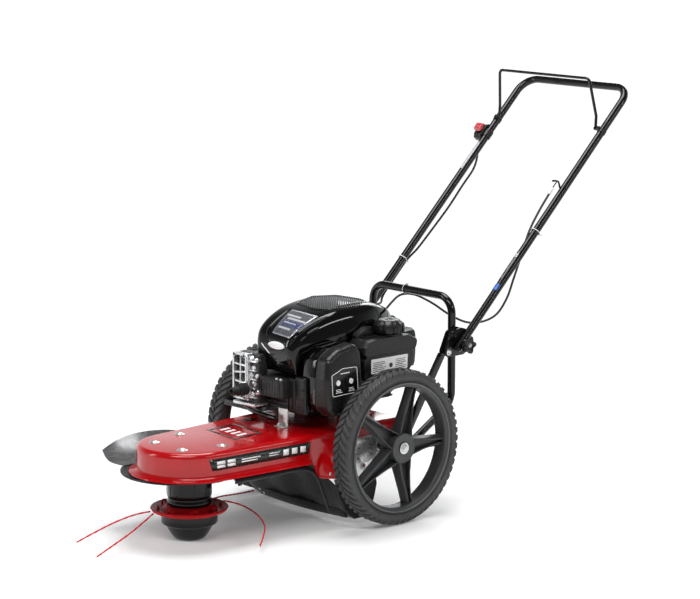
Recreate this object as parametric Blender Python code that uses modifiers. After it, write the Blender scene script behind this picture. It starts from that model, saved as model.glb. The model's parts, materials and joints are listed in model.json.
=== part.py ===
"""Walk-behind brush mower: string cutting head, belt drive, engine, two spoked wheels, folding handle.

World frame: +Z up, the cutting head towards -Y, the operator towards +Y, the machine's left side at +X.
The origin is on the ground in the middle of the machine.
"""
import math

import bmesh
import bpy
from mathutils import Vector

# Driving dimensions, in metres.  "back" is a distance behind the cutting head's axis.
HEAD_Y = -0.5571
AXLE_BACK = 0.431
CRANK_BACK = 0.430
WHEEL_R = 0.1800
TYRE_IN_X = 0.1970
TYRE_OUT_X = 0.2445
RIM_SEAT_R = 0.1520
HUB_IN_X = 0.1900
HUB_OUT_X = 0.2480
WHEEL_STEPS = 44
AXLE_R = 0.0063
SPOKES = 5
SPOKE_PHASE = math.radians(-2.8)
DECK_TOP = 0.220
DECK_SHEET = 0.0025
DECK_SHOULDER = 0.012
LIP_Z = 0.160
SKIRT_Z = 0.119
TAIL_Z = 0.188
NOSE_R = 0.118
LIP_WIDTH = 0.016
SKIRT_HALF = 0.172
BODY_HALF = 0.136
TAIL_HALF = 0.1535
FLARE_BACK = 0.262
PLATE_R = 0.137
PLATE_X = -0.022
PLATE_BOTTOM = 0.1515
PLATE_TOP = 0.1545
TUBE_R = 0.0095
TUBE_WALL = 0.0015
HANDLE_HALF = 0.178
HANDLE_LOW = (0.668, 0.3675)
HANDLE_TOP = (1.2597, 0.9416)
FOLD = (0.681, 0.380)
ARCH_HALF = 0.1364
ARCH_BACK = 0.690
ARCH_TOP = 0.4836
BAIL_PIVOT = (1.150, 0.8505)
BAIL_BAR = (1.138, 0.972)
BAIL_R = 0.0033
CABLE_R = 0.0028
CRANK_PULLEY_R = 0.030
HEAD_PULLEY_R = 0.045
BELT_MID = 0.185
LINE_R = 0.00195
GAP = 0.0003

for old in list(bpy.data.objects):
    bpy.data.objects.remove(old, do_unlink=True)

machine = bpy.data.collections.new("brush_mower")
cutters = bpy.data.collections.new("cutters")
bpy.context.scene.collection.children.link(machine)
bpy.context.scene.collection.children.link(cutters)


def at(x, back, z):
    """A world point from a sideways place, a distance behind the head and a height."""
    return Vector((x, HEAD_Y + back, z))


def material(name, colour, roughness, metallic):
    made = bpy.data.materials.new(name)
    made.use_nodes = True
    shader = made.node_tree.nodes["Principled BSDF"]
    shader.inputs["Base Color"].default_value = (*colour, 1.0)
    shader.inputs["Roughness"].default_value = roughness
    shader.inputs["Metallic"].default_value = metallic
    return made


RED = material("red_paint", (0.55, 0.012, 0.015), 0.25, 0.1)
BLACK_PAINT = material("black_paint", (0.012, 0.012, 0.013), 0.3, 0.2)
BLACK_PLASTIC = material("black_plastic", (0.02, 0.02, 0.021), 0.5, 0.0)
GLOSS_PLASTIC = material("gloss_plastic", (0.008, 0.008, 0.009), 0.12, 0.0)
GREY_PLASTIC = material("grey_plastic", (0.16, 0.16, 0.165), 0.45, 0.0)
DARK_PLASTIC = material("dark_plastic", (0.035, 0.036, 0.038), 0.55, 0.0)
RUBBER = material("rubber", (0.03, 0.03, 0.031), 0.8, 0.0)
ZINC = material("zinc", (0.62, 0.63, 0.62), 0.35, 1.0)
ALUMINIUM = material("aluminium", (0.66, 0.67, 0.68), 0.4, 1.0)
STEEL = material("steel", (0.45, 0.45, 0.46), 0.35, 1.0)
CAST_IRON = material("cast_iron", (0.10, 0.10, 0.105), 0.6, 0.8)
RED_PLASTIC = material("red_plastic", (0.55, 0.01, 0.012), 0.35, 0.0)


def keep(obj, name, paint, smooth=True, angle=35):
    """Name an object, paint it, put it in the machine's collection and shade it."""
    obj.name = name
    for collection in list(obj.users_collection):
        collection.objects.unlink(obj)
    machine.objects.link(obj)
    obj.data.materials.clear()
    obj.data.materials.append(paint)
    if smooth and obj.type == "MESH":
        obj.data.shade_smooth()
        obj.data.set_sharp_from_angle(angle=math.radians(angle))
    return obj


def as_cutter(obj):
    for collection in list(obj.users_collection):
        collection.objects.unlink(obj)
    cutters.objects.link(obj)
    obj.hide_render = True
    obj.display_type = "WIRE"
    return obj


def mesh_object(bm, name):
    mesh = bpy.data.meshes.new(name)
    bmesh.ops.recalc_face_normals(bm, faces=bm.faces)
    bm.to_mesh(mesh)
    bm.free()
    obj = bpy.data.objects.new(name, mesh)
    bpy.context.scene.collection.objects.link(obj)
    return obj


def bevel(obj, width, segments=2, angle=30):
    mod = obj.modifiers.new("bevel", "BEVEL")
    mod.width = width
    mod.segments = segments
    mod.limit_method = "ANGLE"
    mod.angle_limit = math.radians(angle)
    return obj


def solidify(obj, thickness, offset=-1.0):
    mod = obj.modifiers.new("wall", "SOLIDIFY")
    mod.thickness = thickness
    mod.offset = offset
    mod.use_even_offset = True
    return obj


def boolean(obj, other, operation):
    as_cutter(other)
    mod = obj.modifiers.new(operation.lower(), "BOOLEAN")
    mod.operation = operation
    mod.object = other
    mod.solver = "EXACT"
    return obj


def block(low, high, top_inset=(0, 0, 0, 0)):
    """A box; top_inset draws its top face in at -x, +x, -y and +y."""
    bm = bmesh.new()
    bmesh.ops.create_cube(bm, size=1.0)
    for vert in bm.verts:
        x = low[0] if vert.co.x < 0 else high[0]
        y = low[1] if vert.co.y < 0 else high[1]
        z = low[2] if vert.co.z < 0 else high[2]
        if vert.co.z > 0:
            x += top_inset[0] if vert.co.x < 0 else -top_inset[1]
            y += top_inset[2] if vert.co.y < 0 else -top_inset[3]
        vert.co = Vector((x, y, z))
    return mesh_object(bm, "block")


def turned(profile, place, axis="Z", steps=32, closed=False):
    """A turned solid; the profile's (radius, height) points run down its outer side."""
    mesh = bpy.data.meshes.new("profile")
    points = [(radius, 0.0, height) for radius, height in profile]
    edges = [(i, i + 1) for i in range(len(points) - 1)]
    if closed:
        edges.append((len(points) - 1, 0))
    mesh.from_pydata(points, edges, [])
    obj = bpy.data.objects.new("turned", mesh)
    bpy.context.scene.collection.objects.link(obj)
    mod = obj.modifiers.new("screw", "SCREW")
    mod.axis = "Z"
    mod.steps = steps
    mod.render_steps = steps
    mod.use_merge_vertices = True
    mod.merge_threshold = 0.00005
    mod.use_smooth_shade = True
    obj.location = place
    if axis == "X":
        obj.rotation_euler = (0.0, math.pi / 2, 0.0)
    elif axis == "-X":
        obj.rotation_euler = (0.0, -math.pi / 2, 0.0)
    elif axis == "-Y":
        obj.rotation_euler = (math.pi / 2, 0.0, 0.0)
    return obj


def cylinder(start, end, radius, sides=24):
    """A plain cylinder between two points."""
    run = end - start
    bm = bmesh.new()
    bmesh.ops.create_cone(bm, cap_ends=True, segments=sides, radius1=radius, radius2=radius, depth=run.length)
    obj = mesh_object(bm, "cylinder")
    obj.location = (start + end) / 2
    obj.rotation_euler = run.to_track_quat("Z", "Y").to_euler()
    return obj


def rounded(corners, radius, steps=4):
    """A path of world points whose inner corners are arcs; radius may be one per inner corner."""
    radii = radius if isinstance(radius, (list, tuple)) else [radius] * (len(corners) - 2)
    path = [corners[0]]
    for before, corner, after, r in zip(corners, corners[1:], corners[2:], radii):
        u = (before - corner).normalized()
        v = (after - corner).normalized()
        half = u.angle(v) / 2
        cut = r / math.tan(half)
        centre = corner + (u + v).normalized() * (r / math.sin(half))
        first = (corner + u * cut - centre).normalized()
        last = (corner + v * cut - centre).normalized()
        for k in range(steps + 1):
            path.append(centre + first.slerp(last, k / steps) * r)
    path.append(corners[-1])
    return path


def smooth_path(points, spacing):
    """Points spaced along a Catmull-Rom curve through the given ones."""
    path = [points[0]]
    for i in range(len(points) - 1):
        p0 = points[max(i - 1, 0)]
        p1 = points[i]
        p2 = points[i + 1]
        p3 = points[min(i + 2, len(points) - 1)]
        count = max(1, round((p2 - p1).length / spacing))
        for k in range(1, count + 1):
            t = k / count
            a = 2 * p1 + (p2 - p0) * t
            b = (2 * p0 - 5 * p1 + 4 * p2 - p3) * t * t
            c = (3 * p1 - p0 - 3 * p2 + p3) * t ** 3
            path.append((a + b + c) / 2)
    return path


def tube(path, radius, resolution=4, solid=True):
    """A round bar along a list of world points, capped at both ends, or an open skin for a hollow tube."""
    curve = bpy.data.curves.new("tube", "CURVE")
    curve.dimensions = "3D"
    curve.bevel_depth = radius
    curve.bevel_resolution = resolution
    curve.use_fill_caps = solid
    spline = curve.splines.new("POLY")
    spline.points.add(len(path) - 1)
    for point, place in zip(spline.points, path):
        point.co = (*place, 1.0)
    obj = bpy.data.objects.new("tube", curve)
    bpy.context.scene.collection.objects.link(obj)
    return obj


def to_mesh(obj):
    """Turn a curve object into a closed mesh object, so that it can be cut or joined."""
    depsgraph = bpy.context.evaluated_depsgraph_get()
    mesh = bpy.data.meshes.new_from_object(obj.evaluated_get(depsgraph))
    bm = bmesh.new()
    bm.from_mesh(mesh)
    bmesh.ops.remove_doubles(bm, verts=bm.verts, dist=0.00002)
    bmesh.ops.recalc_face_normals(bm, faces=bm.faces)
    bm.to_mesh(mesh)
    bm.free()
    made = bpy.data.objects.new("mesh", mesh)
    bpy.context.scene.collection.objects.link(made)
    made.matrix_world = obj.matrix_world.copy()
    bpy.data.objects.remove(obj, do_unlink=True)
    return made


def hollow_tube(path, radius, wall):
    """A tube with open ends along a list of world points."""
    return solidify(to_mesh(tube(path, radius, 4, False)), wall)


def flat(outlines, low, high):
    """A plate between two heights from closed outlines of (x, y); inner outlines are holes."""
    curve = bpy.data.curves.new("plate", "CURVE")
    curve.dimensions = "2D"
    curve.fill_mode = "BOTH"
    curve.extrude = (high - low) / 2
    for outline in outlines:
        spline = curve.splines.new("POLY")
        spline.points.add(len(outline) - 1)
        for point, (x, y) in zip(spline.points, outline):
            point.co = (x, y, 0.0, 1.0)
        spline.use_cyclic_u = True
    obj = bpy.data.objects.new("plate", curve)
    bpy.context.scene.collection.objects.link(obj)
    obj.location.z = (low + high) / 2
    return obj


def side_plate(outline, x_in, x_out, holes=()):
    """A plate that stands in the Y-Z plane between two x values; outline holds (back, z) points."""
    turned_outline = [(back + HEAD_Y, z) for back, z in outline]
    rings = [turned_outline] + [circle(back + HEAD_Y, z, radius, 20) for back, z, radius in holes]
    obj = flat(rings, 0.0, abs(x_out - x_in))
    obj.rotation_euler = (math.pi / 2, 0.0, math.pi / 2)
    obj.location = ((x_in + x_out) / 2, 0.0, 0.0)
    return obj


def circle(x, y, radius, count, start=0.0, end=2 * math.pi):
    whole = abs(end - start) > 6.28
    last = count if whole else count - 1
    return [(x + radius * math.cos(start + (end - start) * i / last),
             y + radius * math.sin(start + (end - start) * i / last)) for i in range(count)]


def mirrored(points):
    return [Vector((-p.x, p.y, p.z)) for p in points]


# ---------------------------------------------------------------- deck
def blend(value, low, high):
    """0 before low, 1 after high, and a smooth step between them."""
    t = min(max((value - low) / (high - low), 0.0), 1.0)
    return t * t * (3 - 2 * t)


def deck_half_width(back):
    """Half the deck's width behind the head: a long nose that flares at the wheels and narrows at the tail."""
    nose = NOSE_R + (BODY_HALF - NOSE_R) * max(back, 0.0) / FLARE_BACK
    flared = BODY_HALF + (SKIRT_HALF - BODY_HALF) * blend(back, FLARE_BACK, FLARE_BACK + 0.045)
    tail = (SKIRT_HALF - TAIL_HALF) * blend(back, 0.45, 0.50)
    return (nose if back < FLARE_BACK else flared) - tail


def deck_outline():
    """Left side from the tail to the nose, round the nose, and back along the right side."""
    side = (0.50, 0.485, 0.465, 0.45, 0.38, 0.310, 0.298, 0.287, 0.276, 0.262, 0.250, 0.235, 0.17, 0.085)
    left = [(TAIL_HALF - 0.022, 0.534), (TAIL_HALF - 0.008, 0.524)]
    left += [(deck_half_width(back), back) for back in side]
    nose = [(NOSE_R * math.cos(a), NOSE_R * math.sin(a)) for a in (-math.pi * k / 14 for k in range(15))]
    right = [(-x, back) for x, back in reversed(left)]
    return left + nose + right


def deck_bottom(back):
    drop = (LIP_Z - SKIRT_Z) * blend(back, FLARE_BACK - 0.025, FLARE_BACK + 0.012)
    rise = (TAIL_Z - SKIRT_Z) * blend(back, 0.47, 0.52)
    return LIP_Z - drop + rise


def deck_lip(back):
    return LIP_WIDTH * (1 - blend(back, FLARE_BACK - 0.03, FLARE_BACK + 0.01))


def outward(outline):
    """The direction straight out of a closed outline at each of its points."""
    found = []
    for i in range(len(outline)):
        run = (Vector(outline[(i + 1) % len(outline)]) - Vector(outline[i - 1])).normalized()
        found.append(Vector((-run.y, run.x)))
    return found


def make_deck_shell():
    lower = deck_outline()
    upper = [(max(-BODY_HALF, min(BODY_HALF, x)), back) for x, back in lower]
    rings = []
    for k in range(4):
        angle = math.pi / 2 * k / 3
        height = DECK_TOP - DECK_SHOULDER * (1 - math.cos(angle))
        rings.append((upper, [DECK_SHOULDER * (1 - math.sin(angle))] * len(upper), [height] * len(upper)))
    bottom = [deck_bottom(back) for x, back in lower]
    rings.append((lower, [0.0] * len(lower), bottom))
    rings.append((lower, [-deck_lip(back) - 0.001 for x, back in lower], bottom))
    bm = bmesh.new()
    loops = []
    for outline, insets, heights in rings:
        loop = []
        for (x, back), normal, inset, z in zip(outline, outward(outline), insets, heights):
            loop.append(bm.verts.new(at(x - normal.x * inset, back - normal.y * inset, z)))
        loops.append(loop)
    bm.faces.new(loops[0])
    for above, below in zip(loops, loops[1:]):
        for i in range(len(lower)):
            j = (i + 1) % len(lower)
            bm.faces.new((above[i], below[i], below[j], above[j]))
    obj = mesh_object(bm, "deck")
    if obj.data.polygons[0].normal.z < 0:
        obj.data.flip_normals()
    solidify(obj, DECK_SHEET)
    for x, back in ((-0.086, 0.254), (-0.107, 0.325)):
        vent = block(at(x - 0.011, back - 0.011, DECK_TOP - 0.01), at(x + 0.011, back + 0.011, DECK_TOP + 0.01))
        boolean(obj, vent, "DIFFERENCE")
    crank_hole = cylinder(at(0, CRANK_BACK, DECK_TOP - 0.01), at(0, CRANK_BACK, DECK_TOP + 0.01), 0.03)
    boolean(obj, crank_hole, "DIFFERENCE")
    axle_hole = cylinder(at(-0.2, AXLE_BACK, WHEEL_R), at(0.2, AXLE_BACK, WHEEL_R), AXLE_R + GAP, 20)
    boolean(obj, axle_hole, "DIFFERENCE")
    return keep(obj, "deck_shell", RED)


def make_under_plate():
    nose = circle(PLATE_X, HEAD_Y, PLATE_R, 25, 0.0, -math.pi)
    left = [(0.124, HEAD_Y + 0.270), (0.124, HEAD_Y + 0.225), (0.136, HEAD_Y + 0.200), (0.128, HEAD_Y + 0.07)]
    right = [(-0.157, HEAD_Y + 0.07), (-0.140, HEAD_Y + 0.200), (-0.124, HEAD_Y + 0.225), (-0.124, HEAD_Y + 0.270)]
    hole = circle(0, HEAD_Y, 0.030, 20)
    keep(flat([left + nose + right, hole], PLATE_BOTTOM, PLATE_TOP), "under_plate", BLACK_PLASTIC)


def make_debris_shield():
    """A moulded wall behind the head, swept down and back, with a cheek at each side."""
    half = 0.167
    low = SKIRT_Z - 0.0035
    section = [(0.272, 0.150, 0.120), (0.288, low, 0.140), (0.300, 0.080, half), (0.322, 0.040, half), (0.352, 0.012, half)]
    bm = bmesh.new()
    grid = []
    for share in (-1.0, -0.5, 0.0, 0.5, 1.0):
        grid.append([bm.verts.new(at(share * reach, back, z)) for back, z, reach in section])
    for left, right in zip(grid, grid[1:]):
        for k in range(len(section) - 1):
            bm.faces.new((left[k], right[k], right[k + 1], left[k + 1]))
    for column in (grid[0], grid[-1]):
        x = column[-1].co.x
        rear = [bm.verts.new(at(x, back, z)) for back, z in ((0.405, low), (0.420, 0.085), (0.405, 0.035), (0.380, 0.012))]
        bm.faces.new((column[1], column[2], rear[1], rear[0]))
        bm.faces.new((column[2], column[3], rear[2], rear[1]))
        bm.faces.new((column[3], column[4], rear[3], rear[2]))
    obj = mesh_object(bm, "shield")
    solidify(obj, 0.003, 0.0)
    keep(obj, "debris_shield", BLACK_PLASTIC)


def make_side_deflector():
    """A curved grey sheet that flares out and up beside the deck's nose on the right."""
    stations = (-0.085, -0.045, 0.0, 0.08, 0.13)
    inner = [(-0.128, back, 0.1558) for back in stations]
    edge = [(-0.147, back, 0.1558) for back in stations]
    middle = [(-0.176, -0.098, 0.158), (-0.182, -0.055, 0.165), (-0.184, 0.0, 0.173), (-0.184, 0.08, 0.173), (-0.184, 0.13, 0.170)]
    outer = [(-0.233, -0.070, 0.170), (-0.230, -0.040, 0.186), (-0.221, -0.004, 0.200), (-0.215, 0.08, 0.200), (-0.212, 0.13, 0.192)]
    bm = bmesh.new()
    rows = [[bm.verts.new(at(*p)) for p in row] for row in (inner, edge, middle, outer)]
    for near, far in zip(rows, rows[1:]):
        for k in range(len(inner) - 1):
            bm.faces.new((near[k], near[k + 1], far[k + 1], far[k]))
    obj = mesh_object(bm, "deflector")
    solidify(obj, 0.0025, 0.0)
    keep(obj, "side_deflector", GREY_PLASTIC)


def make_axle_plates():
    outline = [(0.300, 0.205), (0.520, 0.205), (0.520, 0.170), (0.470, 0.118), (0.400, 0.105), (0.330, 0.110)]
    inner = SKIRT_HALF + 0.0015
    for side, x in (("left", 1), ("right", -1)):
        plate = side_plate(outline, x * inner, x * (inner + 0.004), [(AXLE_BACK, WHEEL_R, AXLE_R + GAP)])
        keep(plate, "axle_plate_" + side, ZINC)


# ---------------------------------------------------------------- wheels
def make_wheels():
    middle = (TYRE_IN_X + TYRE_OUT_X) / 2
    half = (TYRE_OUT_X - TYRE_IN_X) / 2
    tyre = [(RIM_SEAT_R, half - 0.002), (WHEEL_R - 0.007, half), (WHEEL_R - 0.001, half - 0.003), (WHEEL_R, half - 0.007),
            (WHEEL_R, -half + 0.007), (WHEEL_R - 0.001, -half + 0.003), (WHEEL_R - 0.007, -half), (RIM_SEAT_R, -half + 0.002)]
    seat = RIM_SEAT_R - GAP
    inside = RIM_SEAT_R - 0.012
    hoop = [(seat, half - 0.003), (seat, -half + 0.003), (inside, -half + 0.003), (inside, half - 0.003)]
    bore = AXLE_R + GAP
    hub = [(bore, HUB_OUT_X - middle), (0.0345, HUB_OUT_X - middle), (0.0345, -0.008), (0.020, HUB_IN_X - middle),
           (bore, HUB_IN_X - middle)]
    bolt = [(0.0, 0.0065), (0.006, 0.0065), (0.0125, 0.004), (0.0135, 0.0), (0.0, 0.0)]
    for side, sign in (("left", 1), ("right", -1)):
        axis = "X" if sign > 0 else "-X"
        place = at(sign * middle, AXLE_BACK, WHEEL_R)
        keep(turned(tyre, place, axis, WHEEL_STEPS, True), "tyre_" + side, RUBBER)
        rim = turned(hoop, place, axis, WHEEL_STEPS, True)
        boolean(rim, turned(hub, place, axis, 24, True), "UNION")
        for k in range(SPOKES):
            angle = SPOKE_PHASE + 2 * math.pi * k / SPOKES
            out = Vector((0.0, math.cos(angle), math.sin(angle)))
            across = Vector((0.0, -math.sin(angle), math.cos(angle)))
            spoke = make_spoke(place, sign, out, across)
            boolean(rim, spoke, "UNION")
        keep(rim, "rim_" + side, DARK_PLASTIC)
        stub = cylinder(at(sign * 0.160, AXLE_BACK, WHEEL_R), at(sign * HUB_OUT_X, AXLE_BACK, WHEEL_R), AXLE_R, 16)
        keep(stub, "axle_" + side, STEEL)
        cap = turned(bolt, at(sign * (HUB_OUT_X + GAP), AXLE_BACK, WHEEL_R), axis, 12)
        keep(cap, "wheel_bolt_" + side, ZINC)


def make_spoke(place, sign, out, across):
    """One tapered spoke, wide and thick at the hub."""
    bm = bmesh.new()
    bmesh.ops.create_cube(bm, size=1.0)
    for vert in bm.verts:
        far = vert.co.x > 0
        reach = 0.142 if far else 0.026
        width = 0.0115 if far else 0.016
        inner = -0.006
        outer = 0.010 if far else 0.018
        side = width if vert.co.y > 0 else -width
        depth = outer if vert.co.z > 0 else inner
        vert.co = place + out * reach + across * side + Vector((sign * depth, 0.0, 0.0))
    return mesh_object(bm, "spoke")


# ---------------------------------------------------------------- handles
def make_lower_handle():
    """An upright arch whose feet bend forward and down to the deck's tail."""
    foot = at(ARCH_HALF, 0.490, 0.152)
    heel = at(ARCH_HALF, 0.575, 0.163)
    knee = at(ARCH_HALF, ARCH_BACK, 0.232)
    corner = at(ARCH_HALF, ARCH_BACK, ARCH_TOP)
    left = [foot, heel, knee, corner]
    path = rounded(left + mirrored(reversed(left)), [0.04, 0.05, 0.04, 0.04, 0.05, 0.04])
    keep(hollow_tube(path, TUBE_R, TUBE_WALL), "lower_handle", BLACK_PAINT)


def make_braces_and_brackets():
    strip = [(0.657, 0.3515), (0.639, 0.3515), (0.5148, 0.1652), (0.5272, 0.1568)]
    gusset = [(0.636, 0.352), (0.700, 0.352), (0.716, 0.375), (0.720, 0.405), (0.690, 0.413), (0.662, 0.404)]
    inner = ARCH_HALF + TUBE_R + GAP
    outer = HANDLE_HALF - TUBE_R - GAP
    for side, x in (("left", 1), ("right", -1)):
        brace = side_plate(strip, x * inner, x * (inner + 0.004))
        keep(brace, "brace_" + side, BLACK_PAINT)
        bracket = side_plate(gusset, x * inner, x * outer)
        keep(bracket, "handle_bracket_" + side, BLACK_PAINT)


def make_upper_handle():
    low = at(HANDLE_HALF, *HANDLE_LOW)
    top = at(HANDLE_HALF, *HANDLE_TOP)
    left = [low, top]
    path = rounded(left + mirrored(reversed(left)), [0.045, 0.045], 6)
    keep(hollow_tube(path, TUBE_R, TUBE_WALL), "upper_handle", BLACK_PAINT)


def make_bail():
    """A thin rod across the handle that stands up from it until the operator squeezes it down."""
    pivot = at(HANDLE_HALF - 0.0135, *BAIL_PIVOT)
    knee = at(HANDLE_HALF - 0.0140, BAIL_PIVOT[0] + 0.002, BAIL_PIVOT[1] + 0.03)
    top = at(0.152, *BAIL_BAR)
    left = [pivot, knee, top]
    path = rounded(left + mirrored(reversed(left)), [0.02, 0.012, 0.012, 0.02], 3)
    keep(tube(path, BAIL_R, 2), "bail", BLACK_PAINT)


def make_throttle():
    centre = at(-0.1955, 1.1220, 0.8140)
    housing = block(Vector((-0.0075, -0.020, -0.011)), Vector((0.0075, 0.020, 0.0085)))
    housing.location = centre
    housing.rotation_euler = (math.radians(44.13), 0.0, 0.0)
    keep(bevel(housing, 0.003), "throttle_housing", BLACK_PLASTIC)
    lever = block(Vector((-0.006, -0.010, 0.0112)), Vector((0.006, 0.011, 0.0195)))
    lever.location = centre
    lever.rotation_euler = (math.radians(44.13), 0.0, 0.0)
    keep(bevel(lever, 0.002), "throttle_lever", RED_PLASTIC)


def make_knobs():
    """A hub with five lobes on each clamping bolt of the folding joint."""
    for side, sign in (("left", 1), ("right", -1)):
        place = at(sign * 0.1985, *FOLD)
        outline = []
        lobes = 5
        points = 40
        for k in range(points):
            angle = 2 * math.pi * k / points
            radius = 0.0185 + 0.0035 * math.cos(lobes * angle)
            outline.append((FOLD[0] + radius * math.cos(angle), FOLD[1] + radius * math.sin(angle)))
        knob = side_plate(outline, sign * (HANDLE_HALF + TUBE_R + 0.002), sign * (place.x * sign + 0.011))
        keep(knob, "knob_" + side, BLACK_PLASTIC)


def make_cables():
    """The stop cable runs down the left tube and the throttle cable down the right one."""
    stop_upper = [at(0.166, 0.990, 0.708), at(0.1645, 0.955, 0.667), at(0.1645, 0.920, 0.619), at(0.1645, 0.889, 0.553),
                  at(0.158, 0.875, 0.508), at(0.150, 0.861, 0.462), at(0.137, 0.839, 0.424), at(0.116, 0.812, 0.407)]
    stop_lower = [at(0.1155, 0.8112, 0.4068), at(0.090, 0.784, 0.406), at(0.065, 0.752, 0.425), at(0.035, 0.728, 0.450),
                  at(0.0, 0.713, 0.466), at(-0.018, 0.7085, 0.480), at(-0.026, 0.7035, 0.4945), at(-0.031, 0.692, 0.5005),
                  at(-0.037, 0.675, 0.495), at(-0.044, 0.640, 0.460), at(-0.046, 0.620, 0.400), at(-0.047, 0.600, 0.350), at(-0.047, 0.580, 0.325), at(-0.045, 0.5490, 0.310)]
    throttle_upper = [at(-0.196, 1.105, 0.784), at(-0.192, 1.100, 0.752), at(-0.184, 1.078, 0.722), at(-0.179, 1.036, 0.686),
                      at(-0.177, 0.985, 0.636), at(-0.177, 0.929, 0.586), at(-0.178, 0.880, 0.543), at(-0.179, 0.842, 0.5160),
                      at(-0.179, 0.800, 0.476), at(-0.177, 0.762, 0.440)]
    throttle_lower = [at(-0.1765, 0.7605, 0.4383), at(-0.164, 0.742, 0.425), at(-0.156, 0.720, 0.4240),
                      at(-0.154, 0.695, 0.4250), at(-0.148, 0.660, 0.420), at(-0.130, 0.620, 0.395), at(-0.108, 0.595, 0.345),
                      at(-0.096, 0.5700, 0.320), at(-0.085, 0.5490, 0.310)]
    routes = {"stop_cable_upper": stop_upper, "stop_cable_lower": stop_lower,
              "throttle_cable_upper": throttle_upper, "throttle_cable_lower": throttle_lower}
    for name, route in routes.items():
        keep(tube(smooth_path(route, 0.018), CABLE_R, 2), name, BLACK_PLASTIC)


# ---------------------------------------------------------------- engine
def make_engine():
    base = DECK_TOP + GAP
    body = block(at(-0.105, 0.262, base), at(0.098, 0.545, 0.330), (0.01, 0.01, 0.01, 0.01))
    bevel(body, 0.015)
    bore = cylinder(at(0, CRANK_BACK, base - 0.01), at(0, CRANK_BACK, 0.34), 0.0130)
    boolean(body, bore, "DIFFERENCE")
    keep(body, "engine_block", CAST_IRON)
    head = block(at(-0.100, 0.212, 0.262), at(-0.006, 0.258, 0.388), (0.012, 0.006, 0.0, 0.0))
    bevel(head, 0.004)
    for k in range(5):
        z = 0.276 + 0.020 * k
        boolean(head, block(at(-0.13, 0.20, z), at(-0.080, 0.27, z + 0.007)), "DIFFERENCE")
    keep(head, "cylinder_head", ALUMINIUM)
    boot = [(0.0, 0.058), (0.008, 0.058), (0.0095, 0.054), (0.010, 0.030), (0.012, 0.026), (0.012, 0.0), (0.0, 0.0)]
    keep(turned(boot, at(-0.052, 0.2117, 0.303), "-Y", 14), "spark_plug_boot", RUBBER)
    duct = block(at(0.000, 0.222, 0.292), at(0.078, 0.2617, 0.338))
    keep(bevel(duct, 0.004), "intake_duct", DARK_PLASTIC)
    muffler = block(at(-0.165, 0.355, 0.250), at(-0.1053, 0.500, 0.325))
    keep(bevel(muffler, 0.012), "muffler", STEEL)
    guard = block(at(-0.192, 0.262, 0.236), at(-0.1055, 0.355, 0.243))
    keep(bevel(guard, 0.001), "exhaust_guard", BLACK_PAINT)
    crank = [(0.0, 0.400), (0.0122, 0.400), (0.0122, 0.162), (0.0, 0.162)]
    keep(turned(crank, at(0, CRANK_BACK, 0), "Z", 24), "crankshaft", STEEL)
    wheel = [(0.0125, 0.385), (0.090, 0.385), (0.090, 0.350), (0.0125, 0.350)]
    keep(turned(wheel, at(0, CRANK_BACK, 0), "Z", 32, True), "flywheel", CAST_IRON)


BLOWER_ROWS = (
    # back, right side x, left side x, roof z, skirt z
    (0.242, -0.058, 0.050, 0.422, 0.3945),
    (0.260, -0.080, 0.074, 0.441, 0.3945),
    (0.264, -0.082, 0.076, 0.444, 0.3400),
    (0.300, -0.092, 0.090, 0.465, 0.3400),
    (0.345, -0.099, 0.100, 0.4815, 0.3400),
    (0.400, -0.103, 0.106, 0.489, 0.3400),
    (0.460, -0.103, 0.106, 0.490, 0.3400),
    (0.485, -0.100, 0.100, 0.488, 0.3400),
    (0.505, -0.096, 0.074, 0.484, 0.3400),
    (0.545, -0.080, 0.052, 0.470, 0.3400),
    (0.575, -0.060, 0.030, 0.454, 0.3400),
)


def make_blower_housing():
    """A domed cover lofted front to back, open underneath, with a hole in its roof for the grille."""
    bm = bmesh.new()
    rows = []
    for back, low_x, high_x, roof, skirt in BLOWER_ROWS:
        round_x = 0.038
        round_z = min(0.036, (roof - skirt) * 0.8)
        side_z = roof - round_z - 0.1 * (roof - round_z - skirt)
        points = [(low_x, skirt), (low_x, side_z)]
        points += [(low_x + round_x * (1 - math.cos(a)), roof - round_z * (1 - math.sin(a)))
                   for a in (math.pi / 2 * k / 3 for k in range(4))]
        points += [(high_x - round_x * (1 - math.cos(a)), roof - round_z * (1 - math.sin(a)))
                   for a in (math.pi / 2 * (3 - k) / 3 for k in range(4))]
        points += [(high_x, side_z), (high_x, skirt)]
        rows.append([bm.verts.new(at(x, back, z)) for x, z in points])
    for front, rear in zip(rows, rows[1:]):
        for k in range(len(front) - 1):
            bm.faces.new((front[k], front[k + 1], rear[k + 1], rear[k]))
    bm.faces.new(rows[0])
    bm.faces.new(list(reversed(rows[-1])))
    shell = mesh_object(bm, "blower")
    solidify(shell, 0.003)
    opening = cylinder(at(0.0, 0.435, 0.470), at(0.0, 0.435, 0.50), 0.070, 28)
    boolean(shell, opening, "DIFFERENCE")
    keep(shell, "blower_housing", GLOSS_PLASTIC, True, 50)
    grille = [(0.0, 0.4885), (0.060, 0.4885), (0.0695, 0.4865), (0.0695, 0.4825), (0.0, 0.4825)]
    keep(turned(grille, at(0.0, 0.435, 0), "Z", 28), "intake_grille", DARK_PLASTIC)


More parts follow.
